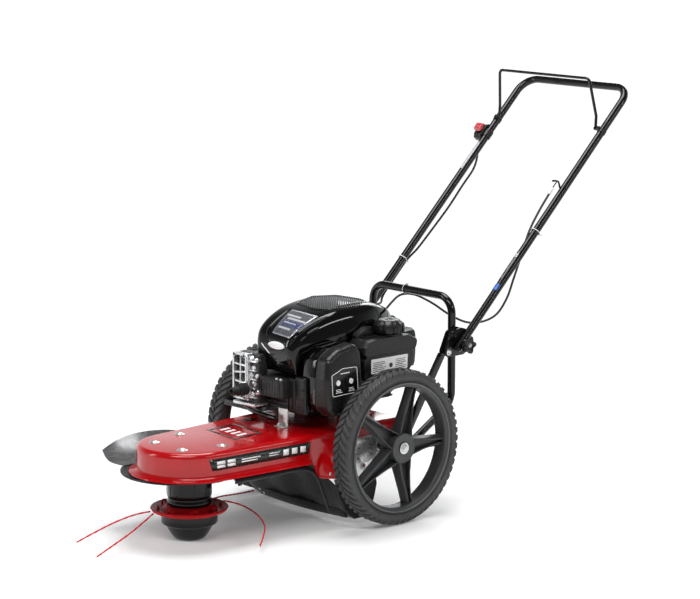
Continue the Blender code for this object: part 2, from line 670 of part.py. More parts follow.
def make_fuel_and_air():
    base = block(at(0.1115, 0.262, 0.292), at(0.1395, 0.372, 0.415))
    keep(bevel(base, 0.008), "air_cleaner_base", DARK_PLASTIC)
    cover = block(at(0.1398, 0.257, 0.262), at(0.186, 0.3675, 0.424), (0.0, 0.012, 0.012, 0.004))
    keep(bevel(cover, 0.016, 3), "air_cleaner_cover", BLACK_PLASTIC)
    tank = block(at(0.1115, 0.3760, 0.325), at(0.1690, 0.550, 0.4250), (0.0, 0.014, 0.0, 0.008))
    lobe = block(at(0.0785, 0.504, 0.340), at(0.146, 0.576, 0.4275), (0.004, 0.012, 0.006, 0.014))
    boolean(tank, lobe, "UNION")
    bevel(tank, 0.012, 2, 40)
    keep(tank, "fuel_tank", BLACK_PLASTIC)
    cap = [(0.0, 0.030), (0.030, 0.030), (0.036, 0.024), (0.036, 0.005), (0.032, 0.0), (0.0, 0.0)]
    keep(turned(cap, at(0.1380, 0.4850, 0.4280), "Z", 24), "fuel_cap", BLACK_PLASTIC)
    grip = block(at(-0.015, 0.5795, 0.420), at(0.045, 0.5995, 0.440))
    keep(bevel(grip, 0.006), "recoil_grip", BLACK_PLASTIC)


# ---------------------------------------------------------------- belt drive and head
def pulley(radius, back, bore):
    half = 0.0070
    groove = 0.0038
    floor = radius - 0.0040
    profile = [(bore, BELT_MID + half), (radius, BELT_MID + half), (radius, BELT_MID + groove), (floor, BELT_MID + groove),
               (floor, BELT_MID - groove), (radius, BELT_MID - groove), (radius, BELT_MID - half), (bore, BELT_MID - half)]
    return turned(profile, at(0, back, 0), "Z", 32, True)


def belt_outline(grow):
    """A loop around both pulleys, grow outside their groove floors."""
    r1 = HEAD_PULLEY_R - 0.0040 + grow
    r2 = CRANK_PULLEY_R - 0.0040 + grow
    tilt = math.asin((r1 - r2) / CRANK_BACK)
    front = circle(0, HEAD_Y, r1, 24, math.pi - tilt, 2 * math.pi + tilt)
    rear = circle(0, HEAD_Y + CRANK_BACK, r2, 20, tilt, math.pi - tilt)
    return front + rear


def make_drive():
    keep(pulley(CRANK_PULLEY_R, CRANK_BACK, 0.0125), "crank_pulley", STEEL)
    keep(pulley(HEAD_PULLEY_R, 0.0, 0.0123), "spindle_pulley", STEEL)
    belt = flat([belt_outline(0.0085), belt_outline(0.0006)], BELT_MID - 0.0035, BELT_MID + 0.0035)
    keep(belt, "drive_belt", RUBBER)
    pivot = (0.094, 0.300)
    centre = (0.0675, 0.220)
    wheel = [(0.0043, 0.1900), (0.020, 0.1900), (0.020, 0.1800), (0.0043, 0.1800)]
    keep(turned(wheel, at(centre[0], centre[1], 0), "Z", 24, True), "idler_pulley", STEEL)
    run = Vector((centre[0] - pivot[0], centre[1] - pivot[1]))
    heading = math.atan2(run.y, run.x)
    ends = circle(pivot[0], HEAD_Y + pivot[1], 0.010, 9, heading + math.pi / 2, heading + 3 * math.pi / 2)
    ends += circle(centre[0], HEAD_Y + centre[1], 0.010, 9, heading - math.pi / 2, heading + math.pi / 2)
    arm = to_mesh(flat([ends], 0.1925, 0.1965))
    boolean(arm, cylinder(at(centre[0], centre[1], 0.178), at(centre[0], centre[1], 0.195), 0.0040, 16), "UNION")
    boolean(arm, cylinder(at(pivot[0], pivot[1], 0.194), at(pivot[0], pivot[1], 0.2170), 0.0060, 16), "UNION")
    keep(arm, "idler_arm", STEEL)


def make_head():
    shaft = [(0.0, 0.200), (0.012, 0.200), (0.012, 0.0600), (0.0, 0.0600)]
    keep(turned(shaft, at(0, 0, 0), "Z", 24), "spindle_shaft", STEEL)
    housing = [(0.0165, 0.1505), (0.0505, 0.1505), (0.0505, 0.0800), (0.0165, 0.0800)]
    keep(turned(housing, at(0, 0, 0), "Z", 40, True), "spindle_housing", DARK_PLASTIC)
    for name, low in (("bearing_lower", 0.085), ("bearing_upper", 0.137)):
        ring = [(0.0123, low + 0.009), (0.0162, low + 0.009), (0.0162, low), (0.0123, low)]
        keep(turned(ring, at(0, 0, 0), "Z", 24, True), name, STEEL)
    dish = [(0.0123, 0.0792), (0.050, 0.0792), (0.056, 0.0730), (0.076, 0.0700), (0.084, 0.0760), (0.0875, 0.0745),
            (0.0882, 0.0700), (0.083, 0.0640), (0.060, 0.0600), (0.0123, 0.0600)]
    keep(turned(dish, at(0, 0, 0), "Z", 40, True), "head_ring", RED_PLASTIC)
    ball = [(0.0, 0.0597), (0.045, 0.0597), (0.060, 0.0540), (0.0640, 0.0450), (0.0640, 0.0375), (0.058, 0.0200),
            (0.046, 0.0060), (0.0335, 0.0), (0.0, 0.0)]
    keep(turned(ball, at(0, 0, 0), "Z", 40), "ground_ball", BLACK_PLASTIC)


LINES = {
    "line_a": [(-0.0290, -0.0885, 0.0700), (-0.048, -0.118, 0.0640), (-0.064, -0.158, 0.0520), (-0.073, -0.205, 0.0370),
               (-0.079, -0.257, 0.0200)],
    "line_b": [(-0.0130, -0.0925, 0.0690), (-0.010, -0.130, 0.0520), (-0.004, -0.165, 0.0390), (0.008, -0.220, 0.0250),
               (0.030, -0.283, 0.0150)],
    "line_c": [(-0.0230, 0.0905, 0.0700), (-0.034, 0.125, 0.0670), (-0.050, 0.170, 0.0600), (-0.070, 0.220, 0.0520),
               (-0.090, 0.266, 0.0450)],
    "line_d": [(0.0060, 0.0940, 0.0700), (0.032, 0.123, 0.0600), (0.080, 0.128, 0.0480), (0.140, 0.102, 0.0380),
               (0.195, 0.052, 0.0320), (0.240, 0.004, 0.0290)],
}


def make_lines():
    for name, route in LINES.items():
        keep(tube(smooth_path([at(*p) for p in route], 0.013), LINE_R, 2), name, RED_PLASTIC)


make_deck_shell()
make_under_plate()
make_debris_shield()
make_side_deflector()
make_axle_plates()
make_wheels()
make_lower_handle()
make_braces_and_brackets()
make_upper_handle()
make_bail()
make_throttle()
make_knobs()
make_cables()
make_engine()
make_blower_housing()
make_fuel_and_air()
make_drive()
make_head()
make_lines()
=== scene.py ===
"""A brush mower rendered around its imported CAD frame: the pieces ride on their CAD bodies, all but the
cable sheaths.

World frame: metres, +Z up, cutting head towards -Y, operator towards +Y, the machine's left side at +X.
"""
import json
import math

import bmesh
import bpy
from mathutils import Matrix, Vector
from mathutils.bvhtree import BVHTree


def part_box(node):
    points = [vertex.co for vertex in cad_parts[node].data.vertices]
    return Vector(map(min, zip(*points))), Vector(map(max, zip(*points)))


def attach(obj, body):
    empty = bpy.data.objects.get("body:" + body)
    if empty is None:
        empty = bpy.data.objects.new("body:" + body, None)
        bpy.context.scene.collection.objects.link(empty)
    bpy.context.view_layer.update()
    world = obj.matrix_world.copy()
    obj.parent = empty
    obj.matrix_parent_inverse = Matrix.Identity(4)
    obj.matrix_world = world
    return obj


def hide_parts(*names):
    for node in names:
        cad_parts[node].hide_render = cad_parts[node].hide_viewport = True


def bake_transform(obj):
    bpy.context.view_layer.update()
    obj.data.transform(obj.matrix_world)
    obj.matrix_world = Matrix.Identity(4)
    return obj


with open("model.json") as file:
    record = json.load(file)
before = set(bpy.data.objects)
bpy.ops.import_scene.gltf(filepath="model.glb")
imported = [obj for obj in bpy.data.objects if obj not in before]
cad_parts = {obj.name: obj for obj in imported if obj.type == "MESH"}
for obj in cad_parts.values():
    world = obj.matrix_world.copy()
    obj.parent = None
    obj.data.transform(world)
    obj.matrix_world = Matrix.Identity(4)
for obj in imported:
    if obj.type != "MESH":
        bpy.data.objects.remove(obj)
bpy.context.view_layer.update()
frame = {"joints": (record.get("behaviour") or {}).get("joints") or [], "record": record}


def middle(node):
    """The centre of a CAD node at rest."""
    low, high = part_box(node)
    return (low + high) / 2


HEAD = middle("spindle_shaft")
HEAD_Y = HEAD.y
FOLD_JOINT = next(j for j in frame["joints"] if j["name"] == "handle_fold")
FOLD = Vector(FOLD_JOINT["pos_m"])
SIDES = (("left", 1), ("right", -1))


def outward_axis(sign):
    """The name of the sideways axis that points away from the machine on that side."""
    return "X" if sign > 0 else "-X"


def at(x, back, z):
    """A world point from a sideways place, a distance behind the cutting head and a height."""
    return Vector((x, HEAD_Y + back, z))


# ---------------------------------------------------------------- camera, light and floor
CAMERA_PLACE = (4.5477, -4.2150, 1.6079)
# degrees below level, degrees round from +Y, and millimetres
CAMERA_DIP = 10.34
CAMERA_TURN = 47.637
CAMERA_LENS = 137.23
CAMERA_SENSOR = 36.0
# the studio's strength on its dim side, its bright side and overhead, and the heights it dims between
WORLD_NEAR = 0.05
WORLD_FAR = 0.95
WORLD_TOP = 0.11
WORLD_DIMS = (0.10, 0.55)
WORLD_BRIGHT_WAY = (-0.74, 0.67, 0.0)
WORLD_TINT = (0.95, 0.97, 1.0, 1)
# name, place, aim, width, height, power, colour
LAMPS = (
    ("key", (1.6, -2.6, 3.4), (0.0, -0.2, 0.3), 3.0, 0.40, 74, (1.0, 0.99, 0.97)),
    ("top", (-0.3, 0.1, 3.2), (0.0, 0.0, 0.2), 1.9, 1.6, 74, (1.0, 1.0, 1.0)),
    ("side", (3.4, 0.9, 2.2), (0.0, 0.0, 0.30), 2.6, 0.22, 24, (1.0, 1.0, 1.0)),
    ("front", (-2.0, -3.2, 1.5), (0.0, -0.3, 0.3), 0.5, 2.0, 22, (0.97, 0.98, 1.0)),
    ("rear", (-1.8, 3.0, 2.0), (0.0, 0.4, 0.5), 2.4, 1.4, 44, (1.0, 1.0, 1.0)),
)
# the floor fades to white between two distances from its middle
FLOOR_SIZE = 14.0
FLOOR_DROP = 0.0006
FLOOR_MIDDLE = (0.05, -0.15, 0.0)
FLOOR_FADE = (0.95, 2.4)
FLOOR_GLOW = 0.10
FLOOR_GREY = 0.94


def map_range(nodes, low, high, start, end):
    """A Map Range node that takes low..high to start..end."""
    node = nodes.new("ShaderNodeMapRange")
    for name, value in (("From Min", low), ("From Max", high), ("To Min", start), ("To Max", end)):
        node.inputs[name].default_value = value
    return node


def make_camera():
    """The photograph's viewpoint, with the Standard view transform."""
    scene = bpy.context.scene
    data = bpy.data.cameras.new("camera")
    data.lens = CAMERA_LENS
    data.sensor_width = CAMERA_SENSOR
    camera = bpy.data.objects.new("camera", data)
    scene.collection.objects.link(camera)
    camera.location = CAMERA_PLACE
    camera.rotation_euler = (math.radians(90 - CAMERA_DIP), 0.0, math.radians(CAMERA_TURN))
    scene.camera = camera
    scene.view_settings.view_transform = "Standard"
    scene.view_settings.look = "None"


def make_world():
    """White behind the object; the light that reaches it is dim above and brighter from one side."""
    world = bpy.data.worlds.new("studio")
    bpy.context.scene.world = world
    world.use_nodes = True
    tree = world.node_tree
    tree.nodes.clear()
    out = tree.nodes.new("ShaderNodeOutputWorld")
    mix = tree.nodes.new("ShaderNodeMixShader")
    rays = tree.nodes.new("ShaderNodeLightPath")
    seen = tree.nodes.new("ShaderNodeBackground")
    lit = tree.nodes.new("ShaderNodeBackground")
    seen.inputs["Color"].default_value = (1, 1, 1, 1)
    seen.inputs["Strength"].default_value = 1.0
    lit.inputs["Color"].default_value = WORLD_TINT
    where = tree.nodes.new("ShaderNodeTexCoord")
    parts = tree.nodes.new("ShaderNodeSeparateXYZ")
    tree.links.new(where.outputs["Generated"], parts.inputs["Vector"])
    height = map_range(tree.nodes, *WORLD_DIMS, 1.0, 0.0)
    tree.links.new(parts.outputs["Z"], height.inputs["Value"])
    facing = tree.nodes.new("ShaderNodeVectorMath")
    facing.operation = "DOT_PRODUCT"
    facing.inputs[1].default_value = WORLD_BRIGHT_WAY
    tree.links.new(where.outputs["Generated"], facing.inputs[0])
    side = map_range(tree.nodes, -0.2, 0.5, WORLD_NEAR, WORLD_FAR)
    tree.links.new(facing.outputs["Value"], side.inputs["Value"])
    total = tree.nodes.new("ShaderNodeMath")
    total.operation = "MULTIPLY_ADD"
    total.inputs[2].default_value = WORLD_TOP
    tree.links.new(height.outputs["Result"], total.inputs[0])
    tree.links.new(side.outputs["Result"], total.inputs[1])
    tree.links.new(total.outputs["Value"], lit.inputs["Strength"])
    tree.links.new(rays.outputs["Is Camera Ray"], mix.inputs["Fac"])
    tree.links.new(lit.outputs[0], mix.inputs[1])
    tree.links.new(seen.outputs[0], mix.inputs[2])
    tree.links.new(mix.outputs[0], out.inputs[0])


def make_lamps():
    """Soft rectangular lamps round the object."""
    for name, place, aim, width, height, power, colour in LAMPS:
        light = bpy.data.lights.new(name, "AREA")
        light.shape = "RECTANGLE"
        light.size = width
        light.size_y = height
        light.energy = power
        light.color = colour
        lamp = bpy.data.objects.new(name, light)
        bpy.context.scene.collection.objects.link(lamp)
        lamp.location = place
        lamp.rotation_euler = (Vector(aim) - Vector(place)).to_track_quat("-Z", "Y").to_euler()


def make_floor():
    """A pale floor that takes a soft shadow near the object and fades to white."""
    bm = bmesh.new()
    bmesh.ops.create_grid(bm, x_segments=1, y_segments=1, size=FLOOR_SIZE)
    floor = finish_mesh(bm, "floor", None)
    floor.location = (0.0, 0.0, -FLOOR_DROP)
    white = bpy.data.materials.new("floor_white")
    white.use_nodes = True
    nodes = white.node_tree.nodes
    links = white.node_tree.links
    shader = nodes["Principled BSDF"]
    shader.inputs["Roughness"].default_value = 0.55
    shader.inputs["Specular IOR Level"].default_value = 0.15
    shader.inputs["Emission Color"].default_value = (1, 1, 1, 1)
    spot = nodes.new("ShaderNodeTexCoord")
    away = nodes.new("ShaderNodeVectorMath")
    away.operation = "DISTANCE"
    away.inputs[1].default_value = FLOOR_MIDDLE
    links.new(spot.outputs["Object"], away.inputs[0])
    for target, near, far in (("Emission Strength", FLOOR_GLOW, 1.0), ("Base Color", FLOOR_GREY, 0.0)):
        fade = map_range(nodes, *FLOOR_FADE, near, far)
        fade.interpolation_type = "SMOOTHSTEP"
        links.new(away.outputs["Value"], fade.inputs["Value"])
        links.new(fade.outputs["Result"], shader.inputs[target])
    floor.data.materials.append(white)


# ---------------------------------------------------------------- materials
def surface(name, colour, rough, metal=0.0, coat=0.0, vary=0.12, grain=(900.0, 0.05), mottle=30.0, spec=0.5,
            rough_vary=0.08, coat_rough=0.03, fibres=None):
    """A Principled surface with colour mottle, uneven roughness and a fine moulded or sprayed grain."""
    made = bpy.data.materials.new(name)
    made.use_nodes = True
    tree = made.node_tree
    nodes = tree.nodes
    shader = nodes["Principled BSDF"]
    shader.inputs["Metallic"].default_value = metal
    shader.inputs["Coat Weight"].default_value = coat
    shader.inputs["Coat Roughness"].default_value = coat_rough
    shader.inputs["Specular IOR Level"].default_value = spec
    where = nodes.new("ShaderNodeTexCoord")
    source = where.outputs["Object"]
    if fibres:
        stretch = nodes.new("ShaderNodeMapping")
        stretch.inputs["Scale"].default_value = fibres
        tree.links.new(source, stretch.inputs["Vector"])
        source = stretch.outputs["Vector"]

    def noise(scale, detail):
        node = nodes.new("ShaderNodeTexNoise")
        node.inputs["Scale"].default_value = scale
        node.inputs["Detail"].default_value = detail
        tree.links.new(source, node.inputs["Vector"])
        return node

    big = noise(mottle, 4.0)
    ramp = nodes.new("ShaderNodeValToRGB")
    ramp.color_ramp.elements[0].position = 0.3
    ramp.color_ramp.elements[1].position = 0.7
    ramp.color_ramp.elements[0].color = (*[c * (1 - vary) for c in colour], 1)
    ramp.color_ramp.elements[1].color = (*[min(1.0, c * (1 + vary)) for c in colour], 1)
    tree.links.new(big.outputs["Fac"], ramp.inputs["Fac"])
    tree.links.new(ramp.outputs["Color"], shader.inputs["Base Color"])
    patch = noise(mottle * 4.3, 3.0)
    spread = map_range(nodes, 0.3, 0.7, max(0.02, rough - rough_vary), min(1.0, rough + rough_vary))
    tree.links.new(patch.outputs["Fac"], spread.inputs["Value"])
    tree.links.new(spread.outputs["Result"], shader.inputs["Roughness"])
    fine = noise(grain[0], 2.0)
    bump = nodes.new("ShaderNodeBump")
    bump.inputs["Strength"].default_value = grain[1]
    bump.inputs["Distance"].default_value = 0.0006
    tree.links.new(fine.outputs["Fac"], bump.inputs["Height"])
    tree.links.new(bump.outputs["Normal"], shader.inputs["Normal"])
    return made


M = {
    "red_paint": surface("red_paint", (0.46, 0.0012, 0.0035), 0.15, coat=0.22, vary=0.05, grain=(220.0, 0.02),
                         rough_vary=0.04, coat_rough=0.02),
    "black_paint": surface("black_paint", (0.004, 0.004, 0.0044), 0.15, vary=0.08, grain=(140.0, 0.004),
                           rough_vary=0.012, spec=0.42),
    "black_plastic": surface("black_plastic", (0.0065, 0.0066, 0.0069), 0.33, spec=0.4, grain=(1500.0, 0.12)),
    "gloss_plastic": surface("gloss_plastic", (0.0018, 0.0018, 0.0019), 0.07, coat=0.05, vary=0.1, spec=0.42,
                             grain=(160.0, 0.02), rough_vary=0.04, coat_rough=0.02),
    "grey_plastic": surface("grey_plastic", (0.050, 0.051, 0.053), 0.60, spec=0.2, grain=(1300.0, 0.14),
                            mottle=18.0),
    "sheet_grey": surface("sheet_grey", (0.12, 0.122, 0.125), 0.28, metal=0.35, coat=0.3, grain=(900.0, 0.08),
                          mottle=14.0, vary=0.15, coat_rough=0.15),
    "dark_plastic": surface("dark_plastic", (0.016, 0.0163, 0.017), 0.42, grain=(1500.0, 0.2), mottle=22.0),
    "rim_plastic": surface("rim_plastic", (0.040, 0.041, 0.043), 0.40, grain=(1400.0, 0.12), mottle=20.0,
                           vary=0.1),
    # a pale grey used for the ring at the tyre seat, as a painted highlight
    "rim_highlight_grey": surface("rim_highlight_grey", (0.15, 0.151, 0.155), 0.35, grain=(1400.0, 0.05), vary=0.1),
    "head_black": surface("head_black", (0.0030, 0.0030, 0.0032), 0.16, grain=(900.0, 0.012), spec=0.32,
                          rough_vary=0.03),
    "lever_red": surface("lever_red", (0.62, 0.070, 0.085), 0.22, coat=0.8, grain=(1200.0, 0.03), vary=0.08),
    "rubber": surface("rubber", (0.009, 0.009, 0.0093), 0.58, grain=(900.0, 0.25)),
    "tyre": surface("tyre", (0.046, 0.0465, 0.0475), 0.56, grain=(700.0, 0.35), mottle=24.0, vary=0.2),
    "zinc": surface("zinc", (0.70, 0.71, 0.70), 0.34, metal=0.85, vary=0.10, grain=(160.0, 0.012),
                    mottle=40.0, rough_vary=0.1),
    "aluminium": surface("aluminium", (0.74, 0.75, 0.76), 0.30, metal=0.9, vary=0.14, grain=(420.0, 0.10),
                         mottle=70.0, rough_vary=0.12),
    "engine_casting": surface("engine_casting", (0.045, 0.046, 0.048), 0.48, metal=0.5, grain=(520.0, 0.6),
                              mottle=50.0, vary=0.25),
    "steel": surface("steel", (0.42, 0.42, 0.43), 0.32, metal=1.0, grain=(420.0, 0.2), vary=0.18),
    "cast_iron": surface("cast_iron", (0.07, 0.068, 0.066), 0.6, metal=0.8, grain=(420.0, 0.6), vary=0.25),
    "red_plastic": surface("red_plastic", (0.42, 0.002, 0.005), 0.44, spec=0.18, grain=(420.0, 0.02),
                           vary=0.08, rough_vary=0.04),
    "trimmer_line": surface("trimmer_line", (0.66, 0.004, 0.012), 0.40, spec=0.25, grain=(900.0, 0.2),
                            mottle=240.0, vary=0.35),
    "cable": surface("cable_sheath", (0.018, 0.018, 0.019), 0.38, grain=(1800.0, 0.15)),
    "white_print": surface("white_print", (0.95, 0.95, 0.95), 0.4, vary=0.03, grain=(900.0, 0.03)),
    "label_dark": surface("label_dark", (0.012, 0.018, 0.016), 0.25, vary=0.3, grain=(700.0, 0.03)),
    "label_black": surface("label_black", (0.004, 0.004, 0.004), 0.18, grain=(700.0, 0.02)),
    "silver_plate": surface("silver_plate", (0.33, 0.34, 0.37), 0.26, metal=0.85, vary=0.2, mottle=14.0,
                            grain=(900.0, 0.06), fibres=(40.0, 4.0, 4.0)),
    "blue_plate": surface("blue_plate", (0.10, 0.12, 0.24), 0.28, metal=0.5, vary=0.2, grain=(900.0, 0.05)),
    "pale_print": surface("pale_print", (0.42, 0.43, 0.46), 0.34, vary=0.05),
    "tie_white": surface("tie_white", (0.76, 0.76, 0.74), 0.4, vary=0.05, grain=(900.0, 0.08)),
    "sticker_blue": surface("sticker_blue", (0.03, 0.13, 0.50), 0.3, vary=0.1),
    "sticker_grey": surface("sticker_grey", (0.42, 0.43, 0.44), 0.3, vary=0.1),
}
CAD_SLOTS = {row["node"]: row["material_slot"] for row in frame["record"]["subparts"]}


# ---------------------------------------------------------------- mesh helpers
def finish_mesh(bm, name, material, angle=35, smooth=True):
    """Turn a bmesh into a linked object, smooth up to an edge angle."""
    bmesh.ops.remove_doubles(bm, verts=bm.verts, dist=0.00001)
    bmesh.ops.recalc_face_normals(bm, faces=bm.faces)
    mesh = bpy.data.meshes.new(name)
    bm.to_mesh(mesh)
    bm.free()
    if smooth:
        mesh.shade_smooth()
        mesh.set_sharp_from_angle(angle=math.radians(angle))
    obj = bpy.data.objects.new(name, mesh)
    bpy.context.scene.collection.objects.link(obj)
    if material:
        mesh.materials.append(M[material])
    return obj


def settle(obj):
    """Apply an object's modifiers to its mesh."""
    depsgraph = bpy.context.evaluated_depsgraph_get()
    mesh = bpy.data.meshes.new_from_object(obj.evaluated_get(depsgraph))
    obj.modifiers.clear()
    obj.data = mesh
    return obj


def bevel(obj, width, segments=2, angle=30):
    """Round the edges that are sharper than an angle."""
    mod = obj.modifiers.new("bevel", "BEVEL")
    mod.width = width
    mod.segments = segments
    mod.limit_method = "ANGLE"
    mod.angle_limit = math.radians(angle)
    settle(obj)
    obj.data.shade_smooth()
    obj.data.set_sharp_from_angle(angle=math.radians(40))
    return obj


def subdivide(obj, levels=2, corners=False):
    """A subdivision surface, which keeps its open corners sharp if asked."""
    mod = obj.modifiers.new("subdivision", "SUBSURF")
    mod.levels = levels
    mod.render_levels = levels
    mod.boundary_smooth = "PRESERVE_CORNERS" if corners else "ALL"
    return settle(obj)


def thicken(obj, thickness, offset=-1.0, inside=None):
    """Give a surface a wall thickness, with a second material on its inner face if one is named."""
    if inside:
        obj.data.materials.append(M[inside])
    mod = obj.modifiers.new("wall", "SOLIDIFY")
    mod.material_offset = 1 if inside else 0
    mod.thickness = thickness
    mod.offset = offset
    mod.use_even_offset = True
    return settle(obj)


def cut(obj, cutter):
    """Take a cutter's volume out of an object, and drop the cutter."""
    mod = obj.modifiers.new("cut", "BOOLEAN")
    mod.operation = "DIFFERENCE"
    mod.object = cutter
    mod.solver = "EXACT"
    settle(obj)
    bpy.data.objects.remove(cutter, do_unlink=True)
    return obj


def place_on(obj, body, nodes=()):
    """Ride a piece on its body and hide the CAD nodes that it stands for."""
    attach(obj, body)
    if nodes:
        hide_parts(*nodes)
    return obj


def piece(bm, name, material, body, nodes=(), angle=35, edge=None):
    """Finish a mesh, round its edges by (width, segments, angle) if asked, and put it on its body."""
    obj = finish_mesh(bm, name, material, angle)
    if edge:
        bevel(obj, *edge)
    return place_on(obj, body, nodes)


AXES = {
    "Z": Matrix(((1, 0, 0), (0, 1, 0), (0, 0, 1))),
    "X": Matrix(((0, 0, 1), (1, 0, 0), (0, 1, 0))),
    "-X": Matrix(((0, 0, -1), (-1, 0, 0), (0, 1, 0))),
    "-Y": Matrix(((1, 0, 0), (0, 0, -1), (0, 1, 0))),
    "Y": Matrix(((-1, 0, 0), (0, 0, 1), (0, 1, 0))),
}


def basis(axis):
    """A turn whose local Z points along axis, a name or a direction."""
    if isinstance(axis, str):
        return AXES[axis]
    return Vector(axis).to_track_quat("Z", "Y").to_matrix()


def lathe(bm, profile, centre, axis="Z", steps=48, closed=False):
    """A turned shape; profile holds (radius, height) points."""
    turn = basis(axis)
    rings = []
    for k in range(steps):
        angle = 2 * math.pi * k / steps
        c, s = math.cos(angle), math.sin(angle)
        rings.append([bm.verts.new(centre + turn @ Vector((r * c, r * s, h))) for r, h in profile])
    count = len(profile) if closed else len(profile) - 1
    for k in range(steps):
        a, b = rings[k], rings[(k + 1) % steps]
        for i in range(count):
            j = (i + 1) % len(profile)
            corners = [a[i], a[j], b[j], b[i]]
            if profile[i][0] < 1e-6:
                corners = [a[i], a[j], b[j]]
            elif profile[j][0] < 1e-6:
                corners = [a[i], a[j], b[i]]
            bm.faces.new(corners)


def tube(bm, path, radius, sides=14, caps=True, flat=None):
    """A bar swept along a path; radius may be a list, and flat squeezes its (width, height)."""
    radii = radius if isinstance(radius, (list, tuple)) else [radius] * len(path)
    wide, tall = flat or (1.0, 1.0)
    normal = None
    rings = []
    for i, point in enumerate(path):
        ahead = path[min(i + 1, len(path) - 1)] - path[max(i - 1, 0)]
        ahead.normalize()
        if normal is None:
            normal = ahead.orthogonal().normalized()
        normal = (normal - ahead * normal.dot(ahead)).normalized()
        other = ahead.cross(normal)
        ring = []
        for k in range(sides):
            angle = 2 * math.pi * k / sides
            offset = normal * (math.cos(angle) * wide) + other * (math.sin(angle) * tall)
            ring.append(bm.verts.new(point + offset * radii[i]))
        rings.append(ring)
    for a, b in zip(rings, rings[1:]):
        for k in range(sides):
            bm.faces.new((a[k], a[(k + 1) % sides], b[(k + 1) % sides], b[k]))
    if caps:
        bm.faces.new(rings[0])
        bm.faces.new(rings[-1])


def block(bm, low, high, inset=(0, 0, 0, 0), turn=None, origin=None):
    """A box; inset draws its top in at -x, +x, -y, +y; turn and origin place it from local coordinates."""
    verts = []
    for z in (0, 1):
        for y in (0, 1):
            for x in (0, 1):
                px = (low[0], high[0])[x]
                py = (low[1], high[1])[y]
                if z:
                    px += inset[0] if x == 0 else -inset[1]
                    py += inset[2] if y == 0 else -inset[3]
                spot = Vector((px, py, (low[2], high[2])[z]))
                if turn is not None:
                    spot = origin + turn @ spot
                verts.append(bm.verts.new(spot))
    for a, b, c, d in ((0, 1, 3, 2), (4, 6, 7, 5), (0, 4, 5, 1), (2, 3, 7, 6), (0, 2, 6, 4), (1, 5, 7, 3)):
        bm.faces.new((verts[a], verts[b], verts[c], verts[d]))


def loft(bm, rows, wrap=False, caps=True, loop_rows=False):
    """Faces between rows of points; wrap closes each row on itself."""
    made = [[bm.verts.new(p) for p in row] for row in rows]
    pairs = list(zip(made, made[1:]))
    if loop_rows:
        pairs.append((made[-1], made[0]))
    for a, b in pairs:
        last = len(a) if wrap else len(a) - 1
        for i in range(last):
            j = (i + 1) % len(a)
            bm.faces.new((a[i], a[j], b[j], b[i]))
    if caps and wrap and not loop_rows:
        bm.faces.new(made[0])
        bm.faces.new(list(reversed(made[-1])))
    return made


def prism(bm, outline, run):
    """A flat outline of points pushed along run, closed at both ends."""
    loft(bm, [outline, [p + Vector(run) for p in outline]], wrap=True)


def rounded(corners, radii, steps=8):
    """A path whose inner corners are arcs."""
    if not isinstance(radii, (list, tuple)):
        radii = [radii] * (len(corners) - 2)
    path = [corners[0]]
    for before, corner, after, r in zip(corners, corners[1:], corners[2:], radii):
        u = (before - corner).normalized()
        v = (after - corner).normalized()
        half = u.angle(v) / 2
        reach = r / math.tan(half)
        centre = corner + (u + v).normalized() * (r / math.sin(half))
        first = (corner + u * reach - centre).normalized()
        last = (corner + v * reach - centre).normalized()
        path += [centre + first.slerp(last, k / steps) * r for k in range(steps + 1)]
    path.append(corners[-1])
    return path


def dense(path, spacing):
    """The same straight runs with extra points along them."""
    made = [path[0]]
    for a, b in zip(path, path[1:]):
        count = max(1, round((b - a).length / spacing))
        made += [a.lerp(b, k / count) for k in range(1, count + 1)]
    return made


def smooth_path(points, spacing):
    """Points spaced along a Catmull-Rom curve through the given ones."""
    path = [points[0]]
    for i in range(len(points) - 1):
        p0 = points[max(i - 1, 0)]
        p1 = points[i]
        p2 = points[i + 1]
        p3 = points[min(i + 2, len(points) - 1)]
        count = max(1, round((p2 - p1).length / spacing))
        for k in range(1, count + 1):
            t = k / count
            a = 2 * p1 + (p2 - p0) * t
            b = (2 * p0 - 5 * p1 + 4 * p2 - p3) * t * t
            c = (3 * p1 - p0 - 3 * p2 + p3) * t ** 3
            path.append((a + b + c) / 2)
    return path


def ease(value, low, high):
    """A smooth step from 0 to 1 between low and high."""
    t = min(max((value - low) / (high - low), 0.0), 1.0)
    return t * t * (3 - 2 * t)


def disc(centre, radius, count, normal="Z"):
    """Points round a circle."""
    turn = basis(normal)
    angles = [2 * math.pi * k / count for k in range(count)]
    return [centre + turn @ Vector((radius * math.cos(a), radius * math.sin(a), 0.0)) for a in angles]


def hex_bolt(bm, centre, axis, size=0.0065, height=0.005, flange=0.009):
    """A hexagon head on a washer flange, with a chamfered top."""
    lathe(bm, [(0.0, 0.0012), (flange * 0.92, 0.0012), (flange, 0.0008), (flange, 0.0), (0.0, 0.0)], centre,
          axis, 24)
    turn = basis(axis)
    up = turn @ Vector((0, 0, 1))
    low = disc(centre + up * 0.0012, size, 6, axis)
    mid = disc(centre + up * (height * 0.8), size, 6, axis)
    top = disc(centre + up * height, size * 0.82, 6, axis)
    loft(bm, [low, mid, top], wrap=True)


def carriage_bolt(bm, centre, radius=0.0085):
    """A low domed bolt head."""
    dome = [(0.0, 0.0040), (radius * 0.4, 0.0036), (radius * 0.75, 0.0022), (radius, 0.0004), (radius, 0.0)]
    lathe(bm, dome + [(0.0, 0.0)], centre, "Z", 24)


